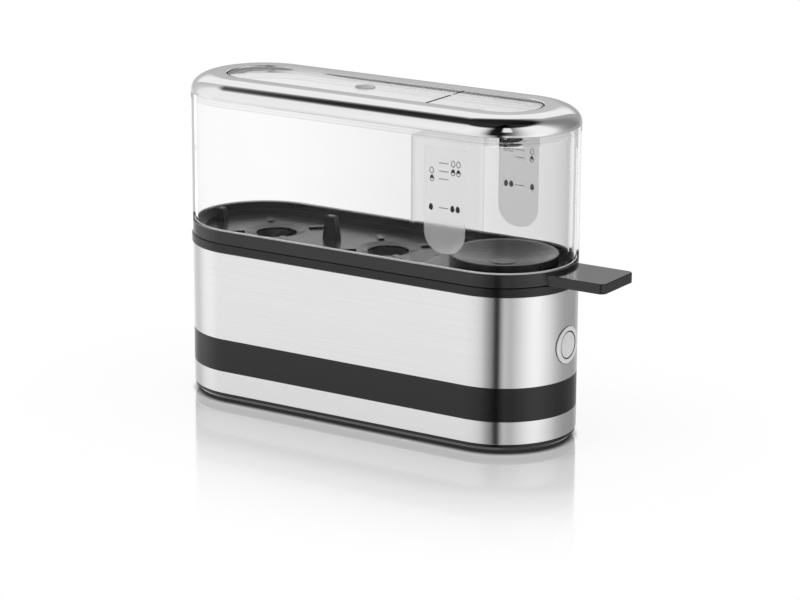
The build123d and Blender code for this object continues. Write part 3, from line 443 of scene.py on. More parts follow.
class Recipe:
    """The nodes of a material, a group or the world, placed and joined by short calls."""

    FIRST_COLOUR = 6
    SECOND_COLOUR = 7
    MIXED_COLOUR = 2

    def __init__(self, tree: Tree) -> None:
        """Keeps the node tree that is filled."""
        self.tree = tree

    def node(self, kind: str, values: dict[str, object] | None = None, **settings: object) -> Node:
        """Adds a node.

        Args:
            kind: The node's type without its ShaderNode prefix, or a full type.
            values: Values of its input sockets by name; an output socket is joined to them.
            settings: The node's own settings.

        Returns:
            The new node.
        """
        full = kind if kind.startswith("NodeGroup") else f"ShaderNode{kind}"
        made = self.tree.nodes.new(full)
        for name, value in settings.items():
            setattr(made, name, value)
        self.fill(made, values or {})
        return made

    def fill(self, node: Node, values: dict[str, object]) -> None:
        """Feeds a node's inputs by name."""
        for name, value in values.items():
            self.put(node.inputs[name], value)

    def put(self, socket: Socket, value: object) -> None:
        """Joins an output to a socket, or sets the socket's value.

        Args:
            socket: The socket to feed.
            value: An output or a plain value.
        """
        if isinstance(value, Socket):
            self.tree.links.new(value, socket)
        else:
            socket.default_value = value

    def math(self, operation: str, *values: object) -> Socket:
        """Adds a Math node.

        Args:
            operation: Its operation.
            values: Its inputs in order.

        Returns:
            Its output.
        """
        made = self.node("Math", operation=operation)
        for socket, value in zip(made.inputs, values):
            self.put(socket, value)
        return made.outputs[0]

    def spread(
        self, value: object, low: float, high: float, start: float = 0.0, end: float = 1.0
    ) -> Socket:
        """Maps a range onto another, smoothly and clamped.

        Args:
            value: The value to map.
            low: The start of its range.
            high: The end of its range.
            start: What the range's start becomes.
            end: What the range's end becomes.

        Returns:
            The mapped value.
        """
        made = self.node(
            "MapRange",
            {"Value": value, "From Min": low, "From Max": high, "To Min": start, "To Max": end},
            interpolation_type="SMOOTHSTEP",
        )
        return made.outputs["Result"]

    def drift(self, middle: object, cloud: Socket, share: float) -> Socket:
        """Lets a value drift round its middle.

        Args:
            middle: The value's middle.
            cloud: A noise round 0.5.
            share: How far the value goes for a noise from 0 to 1.

        Returns:
            The drifting value.
        """
        offset = self.math("MULTIPLY", self.math("SUBTRACT", cloud, 0.5), share)
        return self.math("ADD", offset, middle)

    def blend(self, amount: object, first: object, second: object) -> Socket:
        """Mixes two colours.

        Args:
            amount: How much of the second colour.
            first: The first colour.
            second: The second colour.

        Returns:
            The mixed colour.
        """
        made = self.node("Mix", data_type="RGBA")
        self.put(made.inputs[0], amount)
        self.put(made.inputs[self.FIRST_COLOUR], first)
        self.put(made.inputs[self.SECOND_COLOUR], second)
        return made.outputs[self.MIXED_COLOUR]

    def join(self, first: Node, second: Node, amount: object | None = None) -> Node:
        """Mixes two shaders by an amount, or adds them up where none is given.

        Args:
            first: The first shader.
            second: The second shader.
            amount: How much of the second shader.

        Returns:
            The node that joins them.
        """
        made = self.node("AddShader") if amount is None else self.node("MixShader", {"Fac": amount})
        for socket, shader in zip(list(made.inputs)[-2:], (first, second)):
            self.put(socket, shader.outputs[0])
        return made

    def show(self, shader: Node, output: str = "OutputMaterial") -> None:
        """Sends a shader to the surface of a new output node of a given type."""
        self.put(self.node(output).inputs["Surface"], shader.outputs[0])

    def emboss(self, shader: Node, height: Socket, strength: float, depth: float) -> None:
        """Raises a pattern on the surface.

        Args:
            shader: The shader that shows it.
            height: The pattern.
            strength: How strongly it shows, up to 1.
            depth: How high it stands.
        """
        bump = self.node("Bump", {"Height": height, "Strength": strength, "Distance": depth})
        self.put(shader.inputs["Normal"], bump.outputs[0])

    def place(self) -> Socket:
        """Returns the point on the piece, in object coordinates."""
        return self.node("TexCoord").outputs["Object"]

    def length(self, first: Socket, second: Socket) -> Socket:
        """Returns the length of the vector that has two values as its sides."""
        squares = [self.math("MULTIPLY", part, part) for part in (first, second)]
        return self.math("SQRT", self.math("ADD", *squares))

    def outside(self, point: Socket, outline: Outline) -> Socket:
        """Measures how far a point lies outside a plan shape.

        Args:
            point: The point.
            outline: The plan shape.

        Returns:
            The distance, negative inside.
        """
        x, y, _ = self.node("SeparateXYZ", {"Vector": point}).outputs
        along = self.math("ABSOLUTE", self.math("SUBTRACT", x, outline.centre_x))
        beyond = self.math("MAXIMUM", self.math("SUBTRACT", along, outline.half_straight), 0.0)
        return self.math("SUBTRACT", self.length(beyond, y), outline.radius)

    def ramp(self, value: object, stops: Sequence[Pair]) -> Socket:
        """Reads a grey level off a table.

        Args:
            value: Where to read, from 0 to 1.
            stops: Place and level of each entry, in order.

        Returns:
            The level.
        """
        made = self.node("ValToRGB", {"Fac": value})
        band = made.color_ramp
        ends = (band.elements[0], stops[0]), (band.elements[-1], stops[-1])
        for element, (place, level) in ends:
            element.position = place
            element.color = grey(level)
        for place, level in stops[1:-1]:
            band.elements.new(place).color = grey(level)
        return made.outputs["Color"]


class Effects:
    """Node groups that several materials share, each made when it is first asked for."""

    @cached_property
    def brushing(self) -> Tree:
        """Makes the group for fine lines that run level round a piece.

        Returns:
            The group, which puts out the lines and a slow cloud.
        """
        recipe, start = self._start("brushing", {"Fineness": 2600, "Length": 14}, ("Lines", "Cloud"))
        x, y, z = recipe.node("SeparateXYZ", {"Vector": start["Point"]}).outputs
        level = [recipe.math("MULTIPLY", part, start["Length"]) for part in (x, y)]
        across = recipe.math("MULTIPLY", z, start["Fineness"])
        point = recipe.node("CombineXYZ", {"X": level[0], "Y": level[1], "Z": across}).outputs[0]
        lines = {"Vector": point, "Scale": 1.0, "Detail": 3.0, "Roughness": 0.7}
        cloud = {"Vector": start["Point"], "Scale": 22.0, "Detail": 2.0}
        return self._end(recipe, {"Lines": lines, "Cloud": cloud})

    @cached_property
    def grain(self) -> Tree:
        """Makes the group for the skin of moulded or cast material.

        Returns:
            The group, which puts out the fine skin and a slow mottle.
        """
        recipe, start = self._start("grain", {"Fineness": 1800}, ("Skin", "Mottle"))
        skin = {"Vector": start["Point"], "Scale": start["Fineness"], "Detail": 2.0, "Roughness": 0.6}
        mottle = {"Vector": start["Point"], "Scale": 35.0, "Detail": 3.0}
        return self._end(recipe, {"Skin": skin, "Mottle": mottle})

    def skin(self, recipe: Recipe, fineness: float) -> Sequence[Socket]:
        """Places the grain in a material.

        Args:
            recipe: The material's recipe.
            fineness: How fine the skin is.

        Returns:
            The skin and the mottle.
        """
        values = {"Point": recipe.place(), "Fineness": fineness}
        return recipe.node("Group", values, node_tree=self.grain).outputs

    @staticmethod
    def _start(
        name: str, values: dict[str, float], outputs: Sequence[str]
    ) -> tuple[Recipe, dict[str, Socket]]:
        """Makes a group that takes a point and plain values.

        Args:
            name: The group's name.
            values: The plain values' defaults by name.
            outputs: The names of what it puts out.

        Returns:
            A recipe on the new group, and what it takes by name.
        """
        group = bpy.data.node_groups.new(name, "ShaderNodeTree")
        group.interface.new_socket("Point", in_out="INPUT", socket_type="NodeSocketVector")
        for label, value in values.items():
            socket = group.interface.new_socket(label, in_out="INPUT", socket_type="NodeSocketFloat")
            socket.default_value = value
        for label in outputs:
            group.interface.new_socket(label, in_out="OUTPUT", socket_type="NodeSocketFloat")
        recipe = Recipe(group)
        return recipe, dict(recipe.node("NodeGroupInput").outputs.items())

    @staticmethod
    def _end(recipe: Recipe, noises: dict[str, dict[str, object]]) -> Tree:
        """Makes the noises that a group puts out.

        Args:
            recipe: The group's recipe.
            noises: Each noise's inputs by the name of its output.

        Returns:
            The finished group.
        """
        made = {label: recipe.node("TexNoise", values).outputs["Fac"] for label, values in noises.items()}
        recipe.node("NodeGroupOutput", made)
        return recipe.tree


EFFECTS = Effects()


def emptied(holder: Material | bpy.types.World) -> Recipe:
    """Clears the nodes of a material or a world.

    Args:
        holder: The material or the world.

    Returns:
        The recipe on its tree.
    """
    holder.use_nodes = True
    holder.node_tree.nodes.clear()
    return Recipe(holder.node_tree)


def new_material(name: str) -> tuple[Material, Recipe, Node]:
    """Makes a material with one Principled shader.

    Args:
        name: The material's name.

    Returns:
        The material, the recipe on its tree and the shader's node.
    """
    material = bpy.data.materials.new(name)
    recipe = emptied(material)
    shader = recipe.node("BsdfPrincipled")
    recipe.show(shader)
    return material, recipe, shader


@dataclass(frozen=True)
class BrushedMetal:
    """Sheet metal brushed level along the body."""

    name: str
    tone: float = 0.86
    roughness: float = 0.22
    anisotropy: float = 0.95
    gleam_turn: float = 0.25
    contrast: float = 0.015
    line_range: Pair = (0.3, 0.7)
    relief: float = 0.3
    depth: float = mm(0.0015)
    fineness: float = 2600.0
    length: float = 14.0

    def make(self) -> Material:
        """Makes the material.

        Returns:
            The finished material.
        """
        material, recipe, shader = new_material(self.name)
        values = {"Point": recipe.place(), "Fineness": self.fineness, "Length": self.length}
        lines, cloud = recipe.node("Group", values, node_tree=EFFECTS.brushing).outputs
        tones = (grey(self.tone - self.contrast), grey(self.tone + self.contrast))
        rough = recipe.drift(self.roughness, lines, self.contrast)
        looks = {
            "Base Color": recipe.blend(recipe.spread(lines, *self.line_range), *tones),
            "Roughness": recipe.drift(rough, cloud, self.contrast),
            "Metallic": 1.0,
            "Anisotropic": self.anisotropy,
            "Anisotropic Rotation": self.gleam_turn,
            "Tangent": recipe.node("Tangent", direction_type="RADIAL", axis="Z").outputs[0],
        }
        recipe.fill(shader, looks)
        recipe.emboss(shader, lines, self.relief, self.depth)
        return material


@dataclass(frozen=True)
class Skinned:
    """A finish with a fine skin all over and a slow mottle, which drifts over a range of tones."""

    name: str
    colour: tuple[float, float, float]
    roughness: float
    unevenness: float
    fineness: float
    depth: float
    relief: float
    tone_range: Pair
    metallic: float

    def make(self) -> Material:
        """Makes the material.

        Returns:
            The finished material.
        """
        material, recipe, shader = new_material(self.name)
        skin, mottle = EFFECTS.skin(recipe, self.fineness)
        tones = [self._toned(share * self.unevenness) for share in self.tone_range]
        looks = {
            "Base Color": recipe.blend(mottle, *tones),
            "Roughness": self._rough(recipe, mottle),
            "Metallic": self.metallic,
        }
        recipe.fill(shader, looks)
        recipe.emboss(shader, skin, self.relief, self.depth)
        return material

    def _toned(self, share: float) -> Colour:
        """Returns the colour, lightened by a share of itself."""
        return (*(channel * (1 + share) for channel in self.colour), 1.0)

    def _rough(self, recipe: Recipe, mottle: Socket) -> Socket:
        """Returns the roughness over the surface."""
        return recipe.drift(self.roughness, mottle, self.unevenness)


@dataclass(frozen=True)
class PlainMetal(Skinned):
    """Metal with a fine all-over skin: plated, cast, satin or polished."""

    colour: tuple[float, float, float] = (0.7, 0.7, 0.71)
    roughness: float = 0.3
    unevenness: float = 0.05
    fineness: float = 2200.0
    depth: float = mm(0.003)
    relief: float = 0.4
    tone_range: Pair = (-1.0, 0.0)
    metallic: float = 1.0


@dataclass(frozen=True)
class Moulded(Skinned):
    """Opaque moulded plastic or rubber with a fine skin."""

    colour: tuple[float, float, float] = (0.012, 0.012, 0.013)
    roughness: float = 0.42
    unevenness: float = 0.06
    fineness: float = 1800.0
    depth: float = mm(0.006)
    relief: float = 0.35
    tone_range: Pair = (0.0, 3.0)
    metallic: float = 0.0


@dataclass(frozen=True)
class TrayPlastic(Moulded):
    """Black plastic that is polished on the rim and the handle and matte inside the rim."""

    outline: Outline = Outline()
    rim: Pair = (mm(-3.0), mm(-2.4))
    matte: float = 0.12

    def _rough(self, recipe: Recipe, mottle: Socket) -> Socket:
        """Returns the roughness, raised inside the rim."""
        inside = recipe.spread(recipe.outside(recipe.place(), self.outline), *self.rim, self.matte, 0.0)
        return recipe.math("ADD", super()._rough(recipe, mottle), inside)


@dataclass(frozen=True)
class ClearPlastic:
    """Clear or frosted moulded plastic: thin, so it hardly bends light but still mirrors it."""

    name: str
    tint: float = 0.988
    roughness: float = 0.0
    haze: float = 0.01
    refraction: float = 1.03
    transmission: float = 1.0
    polish: float = 0.0
    fineness: float = 900.0

    def make(self) -> Material:
        """Makes the material.

        Returns:
            The finished material.
        """
        material, recipe, shader = new_material(self.name)
        _, mottle = EFFECTS.skin(recipe, self.fineness)
        haze = recipe.math("MULTIPLY", mottle, self.haze)
        looks = {
            "Base Color": self._tone(recipe),
            "Roughness": recipe.math("ADD", haze, self.roughness),
            "Transmission Weight": self.transmission,
            "IOR": self.refraction,
            "Coat Weight": self.polish,
            "Coat Roughness": self.roughness,
        }
        recipe.fill(shader, looks)
        return material

    def _tone(self, recipe: Recipe) -> Socket | Colour:
        """Returns the plastic's colour over the surface."""
        return grey(self.tint)


@dataclass(frozen=True)
class HoodPlastic(ClearPlastic):
    """The hood's clear plastic, with painted shade in darker bands of its tint along the fine ribs of its lip
    under the crown.
    """

    outline: Outline = Outline()
    skin: Pair = (mm(-1.2), mm(-0.8))
    lip: Pair = (mm(130.0), mm(134.0))
    # Painted shade: tint levels by height up the lip, darker in bands.
    rib_shade: tuple[Pair, ...] = (
        (0.0, 1.0), (0.09, 0.97), (0.26, 0.68), (0.36, 0.88), (0.46, 0.88), (0.54, 0.68), (0.62, 0.88),
        (0.68, 0.88), (0.75, 0.70), (0.81, 0.84), (1.0, 0.84),
    )

    def _tone(self, recipe: Recipe) -> Socket:
        """Paints shade into the plastic's tint in bands along the ribs of its outer skin.

        Args:
            recipe: The material's recipe.

        Returns:
            The colour over the surface.
        """
        place = recipe.place()
        height = recipe.node("SeparateXYZ", {"Vector": place}).outputs[2]
        low, high = self.lip
        share = recipe.math("DIVIDE", recipe.math("SUBTRACT", height, low), high - low)
        rib_shade = recipe.ramp(share, [(step, level * self.tint) for step, level in self.rib_shade])
        outer = recipe.spread(recipe.outside(place, self.outline), *self.skin)
        return recipe.blend(outer, grey(self.tint), rib_shade)


@dataclass(frozen=True)
class KeySilver:
    """Satin silver of the key and its ring, with a dark shadow line round each."""

    name: str
    outline: Outline = Outline()
    reach: float = mm(9.0)
    side_wall: Pair = (mm(7.82), mm(7.88))
    # Painted shadow where the ring's side meets the steel wall: its band outside the outline and its darkest
    # tone.
    foot_shade_band: Pair = (mm(0.3), mm(0.4))
    foot_shade_tone: float = 0.05
    # The 0.02 stops paint the shadow line between the key and its ring.
    tones: tuple[Pair, ...] = (
        (0.0, 0.97), (0.595, 0.97), (0.62, 0.02), (0.655, 0.02), (0.68, 1.0), (1.0, 1.0),
    )
    roughness: float = 0.3
    unevenness: float = 0.04
    fineness: float = 3000.0
    relief: float = 0.3
    depth: float = mm(0.002)

    def make(self) -> Material:
        """Makes the material.

        Returns:
            The finished material.
        """
        material, recipe, shader = new_material(self.name)
        skin, mottle = EFFECTS.skin(recipe, self.fineness)
        place = recipe.place()
        _, y, z = recipe.node("SeparateXYZ", {"Vector": place}).outputs
        radius = recipe.length(y, recipe.math("SUBTRACT", z, KEY_HEIGHT))
        tone = recipe.ramp(recipe.math("DIVIDE", radius, self.reach), self.tones)
        # Painted shadow on the ring's side near the steel wall.
        foot = recipe.spread(recipe.outside(place, self.outline), *self.foot_shade_band, self.foot_shade_tone, 1.0)
        side = recipe.spread(radius, *self.side_wall)
        looks = {
            "Base Color": recipe.blend(side, tone, recipe.math("MULTIPLY", tone, foot)),
            "Roughness": recipe.drift(self.roughness, mottle, self.unevenness),
        }
        recipe.fill(shader, looks)
        recipe.emboss(shader, skin, self.relief, self.depth)
        return material


# Pieces


def dress(piece: Piece, material: Material) -> None:
    """Gives a whole piece one material."""
    piece.data.materials.clear()
    piece.data.materials.append(material)


def settle(piece: Piece, body: Body, replaced: Sequence[str] = ()) -> None:
    """Ties a new piece to the frame.

    Args:
        piece: The finished piece.
        body: The body that it moves with.
        replaced: The CAD nodes that it stands for.
    """
    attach(piece, body.value)
    if replaced:
        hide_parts(*replaced)
    LOG.info("%s rides on %s", piece.name, body.value)


@dataclass
class SteelWalls:
    """The two brushed sleeves of the base."""

    outline: Outline
    sheet: float = mm(0.6)
    edge: float = mm(0.22)
    edge_steps: int = 4
    bore: float = mm(8.05)

    def build(self, looks: Looks) -> None:
        """Builds both sleeves and dresses them.

        Args:
            looks: The finished materials by name.
        """
        wall = self._sleeve("upper_steel_shell")
        self._bore(wall)
        band = self._sleeve("lower_steel_band")
        for sleeve, name, node in (
            (wall, "steel_wall", "upper_steel_shell"), (band, "steel_band", "lower_steel_band"),
        ):
            Bench.finish(sleeve, name)
            dress(sleeve, looks["steel_brushed"])
            settle(sleeve, Body.BASE, [node])

    def _sleeve(self, node: str) -> Piece:
        """Makes a thin wall with softened outer edges.

        Args:
            node: The CAD node whose height it takes.

        Returns:
            The wall.
        """
        low, high = (corner.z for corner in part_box(node))
        outer, inner = self.outline.radius, self.outline.radius - self.sheet
        corners = (
            Corner(outer, low, self.edge), Corner(outer, high, self.edge), Corner(inner, high),
            Corner(inner, low),
        )
        return self.outline.turned(section_points(corners, steps=self.edge_steps))

    def _bore(self, sleeve: Piece) -> None:
        """Cuts the key's hole into the right end.

        Args:
            sleeve: The tall wall.
        """
        start = Vector((self.outline.end_x, 0, KEY_HEIGHT))
        end = start + Vector((2 * self.outline.radius, 0, 0))
        Bench.combine(sleeve, Bench.rod(self.bore, start, end), "DIFFERENCE")


@dataclass
class Hood:
    """The clear hood and its chromed crown."""

    outline: Outline
    wall: float = mm(2.0)
    lip: float = mm(0.2)
    lip_height: float = mm(2.7)
    lip_edge: float = mm(0.0875)
    shoulder: Pair = (mm(10.0), mm(7.0))
    crown_proud: float = mm(0.3)
    crown_thickness: float = mm(1.2)
    crown_gap: float = mm(0.1)
    crown_foot: float = mm(0.2)
    crown_steps: tuple[int, int] = (26, 14)
    window: float = mm(15.75)
    window_gap: float = mm(0.5)
    window_edge: float = mm(0.45)
    window_steps: int = 6
    seam: float = mm(0.6)
    seam_edge: float = mm(0.175)
    foot_edge: float = mm(0.35)
    foot_steps: int = 4
    roof_recess: float = mm(0.3)
    roof_thickness: float = mm(2.0)
    vent: Pair = (mm(-8.3), mm(4.3))
    step: tuple[float, float, float] = (mm(31.5), mm(1.2), mm(0.4))

    def build(self, looks: Looks) -> None:
        """Builds the hood and the crown and dresses them.

        Args:
            looks: The finished materials by name.
        """
        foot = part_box("hood_shell")[0].z
        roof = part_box("chrome_ring")[1].z - self.roof_recess
        shell = self.outline.turned(self._section(foot, roof))
        self._vent_hole(shell, roof)
        self._cross_line(shell, roof)
        Bench.finish(shell, "hood_clear", angle=28)
        dress(shell, looks["plastic_clear"])
        # Painted light: the rounded lower edge and the vent's wall get a pale opaque grey in place of the
        # light that clear edges catch.
        Bench.paint(shell, looks["plastic_edge_light"], lambda face: self._in_vent(face) or self._low(face, foot))
        Bench.paint(shell, looks["plastic_pane"], lambda face: self._flat_roof(face, roof))
        # Painted shade: a dark grey ring on the pad's edge, in the gap under the crown's window.
        Bench.paint(shell, looks["seam_shade"], lambda face: self._on_seam(face, roof))
        settle(shell, Body.HOOD, ["hood_shell"])
        crown = self._crown()
        dress(crown, looks["chrome_polished"])
        settle(crown, Body.HOOD, ["chrome_ring"])

    @property
    def _pad(self) -> float:
        """Returns the radius of the raised roof that stands in the crown's window."""
        return self.window - self.window_gap

    def _section(self, foot: float, roof: float) -> list[Pair]:
        """Draws the shell's section: up the outside, over the roof and down the inside.

        Args:
            foot: The height of the lower edge.
            roof: The height of the flat roof.

        Returns:
            Its points as radius and height.
        """
        crown_low, crown_high = (corner.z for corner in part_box("chrome_ring"))
        skin = self.crown_thickness + self.crown_gap
        radius, run = self.outline.radius, self.shoulder[0]
        shoulder, under = radius - skin + self.crown_proud, crown_high - skin
        inner, ceiling = radius - self.wall, roof - self.roof_thickness
        proud, lip_low, pad = radius + self.lip, crown_low - self.lip_height, self._pad
        corners = (
            Corner(inner, foot, self.foot_edge), Corner(radius, foot, self.foot_edge),
            Corner(radius, lip_low), Corner(proud, lip_low + self.lip, self.lip_edge),
            Corner(proud, crown_low, self.lip_edge), Corner(shoulder, crown_low),
        )
        outside = section_points(corners, steps=self.foot_steps)[:-1]
        outer_arc = quarter_ellipse(shoulder, under, run, under - crown_low)
        flat = [
            (pad, under), (pad, roof - self.seam_edge), (pad - self.seam_edge, roof), (pad - self.seam, roof),
            (0.0, roof), (0.0, ceiling),
        ]
        inner_arc = quarter_ellipse(inner, ceiling, run, ceiling - crown_low)[::-1]
        return [*outside, *outer_arc, *flat, *inner_arc]

    def _vent_hole(self, shell: Piece, roof: float) -> None:
        """Cuts the steam vent through the roof.

        Args:
            shell: The hood's shell.
            roof: The height of the flat roof.
        """
        x, radius = self.vent
        low = Vector((self.outline.centre_x + x, 0, roof - self.roof_thickness - OVERLAP))
        high = Vector((low.x, 0, roof + OVERLAP))
        Bench.combine(shell, Bench.rod(radius, low, high), "DIFFERENCE")

    def _cross_line(self, shell: Piece, roof: float) -> None:
        """Cuts the shallow line that crosses the roof.

        Args:
            shell: The hood's shell.
            roof: The height of the flat roof.
        """
        x, width, depth = self.step
        size = (width, 2 * (self._pad + OVERLAP), 2 * depth)
        groove = Bench.box(size, (self.outline.centre_x + x, 0, roof))
        Bench.combine(shell, groove, "DIFFERENCE")

    def _flat_roof(self, face: list[Vector], roof: float) -> bool:
        """Tests whether a face lies on the roof's flat top or on its ceiling."""
        levels = (roof, roof - self.roof_thickness)
        return any(on_plane(2, level)(face) for level in levels)

    def _in_vent(self, face: list[Vector]) -> bool:
        """Tests whether a face lies on the vent's wall."""
        x, radius = self.outline.centre_x + self.vent[0], self.vent[1]
        return all(hypot(corner.x - x, corner.y) < radius + TOLERANCE for corner in face)

    def _low(self, face: list[Vector], foot: float) -> bool:
        """Tests whether a face lies on the rounded lower edge."""
        return all(corner.z < foot + self.foot_edge + TOLERANCE for corner in face)

    def _on_seam(self, face: list[Vector], roof: float) -> bool:
        """Tests whether a face lies on the ring along the window's edge."""
        low, inner = roof - 2 * self.seam_edge, self._pad - self.seam - TOLERANCE
        return all(corner.z > low and self.outline.reach(corner) > inner for corner in face)

    def _crown(self) -> Piece:
        """Makes the crown: an elliptical shoulder round the window.

        Returns:
            The finished crown.
        """
        low, high = (corner.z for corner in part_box("chrome_ring"))
        edge = self.outline.radius + self.crown_proud
        inner, inner_top = edge - self.crown_thickness, high - self.crown_thickness
        run, rise = self.shoulder
        outer_steps, inner_steps = self.crown_steps
        outer_arc = quarter_ellipse(edge, high, run, rise, outer_steps)
        inner_arc = quarter_ellipse(inner, inner_top, run, inner_top - low, inner_steps)[::-1]
        lip, foot = self.window_edge, self.crown_foot
        turns = [pi / 2 * step / self.window_steps for step in range(1, self.window_steps + 1)]
        window = [(self.window + lip - lip * sin(turn), high - lip + lip * cos(turn)) for turn in turns]
        points = [
            (edge - foot, low), (edge, low + foot), *outer_arc, (self.window + lip, high), *window,
            (self.window, inner_top), *inner_arc,
        ]
        return Bench.finish(self.outline.turned(points), "crown_ring", angle=50)


@dataclass(frozen=True)
class ScaleRow:
    """One row of equal printed eggs on the fill scale, at their places along the front panel."""

    fill: Fill
    height: float
    places: tuple[float, ...]


@dataclass
class Cup:
    """The clear measuring cup, its frosted scale panels and the printed scale."""

    outline: Outline
    radius: float = mm(28.3)
    wall: float = mm(1.7)
    flat: float = mm(32.3)
    corner: float = mm(1.6)
    top_edge: float = mm(1.4)
    well: Pair = (mm(7.0), mm(4.5))
    seat: Pair = (mm(0.8), mm(1.0))
    panel_x: Pair = (mm(39.6), mm(59.3))
    panel_z: Pair = (mm(82.2), mm(126.5))
    panel_proud: float = mm(0.3)
    panel_gap: float = mm(0.02)
    panel_corner: float = mm(9.0)
    turn_x: float = mm(50.1)
    back_drop: float = mm(1.2)
    ink: float = mm(0.06)
    line: float = mm(0.26)
    egg: Pair = (mm(1.0), mm(1.32))
    egg_tip: Pair = (0.92, 1.12)
    rows: tuple[ScaleRow, ...] = (
        ScaleRow(Fill.HOLLOW, mm(116.45), (mm(43.2),)),
        ScaleRow(Fill.HALF, mm(113.2), (mm(43.35),)),
        ScaleRow(Fill.SOLID, mm(101.2), (mm(42.95),)),
        ScaleRow(Fill.HOLLOW, mm(120.15), (mm(53.45), mm(56.0))),
        ScaleRow(Fill.HALF, mm(116.55), (mm(53.45), mm(56.0))),
        ScaleRow(Fill.SOLID, mm(101.4), (mm(53.25), mm(55.8))),
    )
    dashes: tuple[float, ...] = (mm(120.0), mm(116.6), mm(113.4), mm(101.3))
    dash_x: float = mm(49.0)
    dash_width: float = mm(4.6)

    def build(self, looks: Looks) -> None:
        """Builds the cup and what is on it: the one at the front first, then the one at the back.

        Args:
            looks: The finished materials by name.
        """
        low, high = (corner.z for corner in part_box("measuring_cup"))
        cup = self._shell(low, high)
        self._sink_well(cup, high)
        Bench.finish(cup, "cup_clear", angle=30)
        dress(cup, looks["plastic_cup"])
        # Painted shade: the upright outer corners and the brim get a darker tint that stands in for the
        # shading of the cup's edges.
        Bench.paint(cup, looks["plastic_corner_shade"], lambda face: self._on_corner(face) or on_plane(2, low)(face))
        settle(cup, Body.CUP, ["measuring_cup"])
        for name, side in (("front", -1), ("back", 1)):
            panel = Bench.finish(self._panel(side), f"scale_panel_{name}")
            dress(panel, looks["plastic_frosted"])
            settle(panel, Body.CUP)
            scale = Bench.finish(self._scale(side), f"scale_marks_{name}")
            dress(scale, looks["ink_black"])
            settle(scale, Body.CUP)

    def _shell(self, low: float, high: float) -> Piece:
        """Makes the cup, brim down: half round on the right, flat on the left.

        Args:
            low: The brim's height.
            high: The height of the floor, which is on top.

        Returns:
            The hollow cup.
        """
        end_x, flat_x = self.outline.end_x, self.outline.centre_x + self.flat
        Bench.clear()
        bpy.ops.mesh.primitive_cylinder_add(
            vertices=144, radius=self.radius, depth=high - low, location=(end_x, 0, (low + high) / 2)
        )
        cup = bpy.context.object
        bpy.ops.object.transform_apply(location=True, rotation=True, scale=True)
        Bench.edit(cup)
        bpy.ops.mesh.select_all(action="SELECT")
        bpy.ops.mesh.bisect(plane_co=(end_x, 0, 0), plane_no=(1, 0, 0), clear_inner=True)
        Bench.choose(cup, Pick.EDGES, on_plane(0, end_x))
        bpy.ops.mesh.extrude_edges_move(TRANSFORM_OT_translate={"value": (flat_x - end_x, 0, 0)})
        Bench.choose(cup, Pick.EDGES, on_plane(0, flat_x))
        bpy.ops.mesh.edge_face_add()
        tall = (high - low) / 2
        Bench.choose(cup, Pick.EDGES, lambda edge: on_plane(0, flat_x)(edge) and self._rises(edge, tall))
        bpy.ops.mesh.bevel(offset=self.corner, segments=6)
        Bench.choose(cup, Pick.EDGES, self._rim(cup, high))
        bpy.ops.mesh.bevel(offset=self.top_edge, segments=5)
        Bench.choose(cup, Pick.FACES, on_plane(2, low))
        bpy.ops.mesh.delete(type="FACE")
        Bench.tidy(cup)
        Bench.modify(cup, "SOLIDIFY", thickness=self.wall, offset=-1.0, use_even_offset=True)
        return cup

    @staticmethod
    def _rises(edge: list[Vector], height: float) -> bool:
        """Tests whether an edge rises by more than a height."""
        return abs(edge[0].z - edge[-1].z) > height

    @staticmethod
    def _rim(cup: Piece, height: float) -> Test:
        """Makes a test for the outer edges of the top face.

        Args:
            cup: The cup, open in edit mode.
            height: The top face's height.

        Returns:
            A test for Bench.choose.
        """
        mesh = bmesh.from_edit_mesh(cup.data)
        rim = {
            frozenset(tuple(point.co) for point in edge.verts)
            for edge in mesh.edges
            if any(abs(face.normal.z) < UPRIGHT_NORMAL for face in edge.link_faces)
        }
        return lambda edge: on_plane(2, height)(edge) and frozenset(tuple(corner) for corner in edge) in rim

    def _on_corner(self, face: list[Vector]) -> bool:
        """Tests whether a face lies on an upright outer corner.

        Args:
            face: The corner points of the face.

        Returns:
            Whether all of it lies there.
        """
        near_x = self.outline.centre_x + self.flat + self.corner + TOLERANCE
        near_y = self.radius - self.corner - TOLERANCE
        return all(corner.x < near_x and abs(corner.y) > near_y for corner in face)

    def _sink_well(self, cup: Piece, top: float) -> None:
        """Sinks the pin's well and its seat into the cup's floor, where its round end has its centre.

        Args:
            cup: The hollow cup.
            top: The height of the floor's outer face.
        """
        radius, depth = self.well
        seat_radius, seat_depth = self.seat
        floor = top - depth
        rods = (
            (radius + self.wall, floor - self.wall, top - self.wall / 2, "UNION"),
            (radius, floor, top + OVERLAP, "DIFFERENCE"),
            (seat_radius, floor - seat_depth, floor + OVERLAP, "DIFFERENCE"),
        )
        x = self.outline.end_x
        for size, low, high, operation in rods:
            rod = Bench.rod(size, Vector((x, 0, low)), Vector((x, 0, high)), sides=48)
            Bench.combine(cup, rod, operation)

    def _across(self, x: float, side: int) -> float:
        """Finds a place along a panel; the back one reads from behind as the front one does.

        Args:
            x: The place on the front panel.
            side: -1 at the front and 1 at the back.

        Returns:
            The place along X.
        """
        return self.outline.centre_x + (x if side < 0 else 2 * self.turn_x - x)

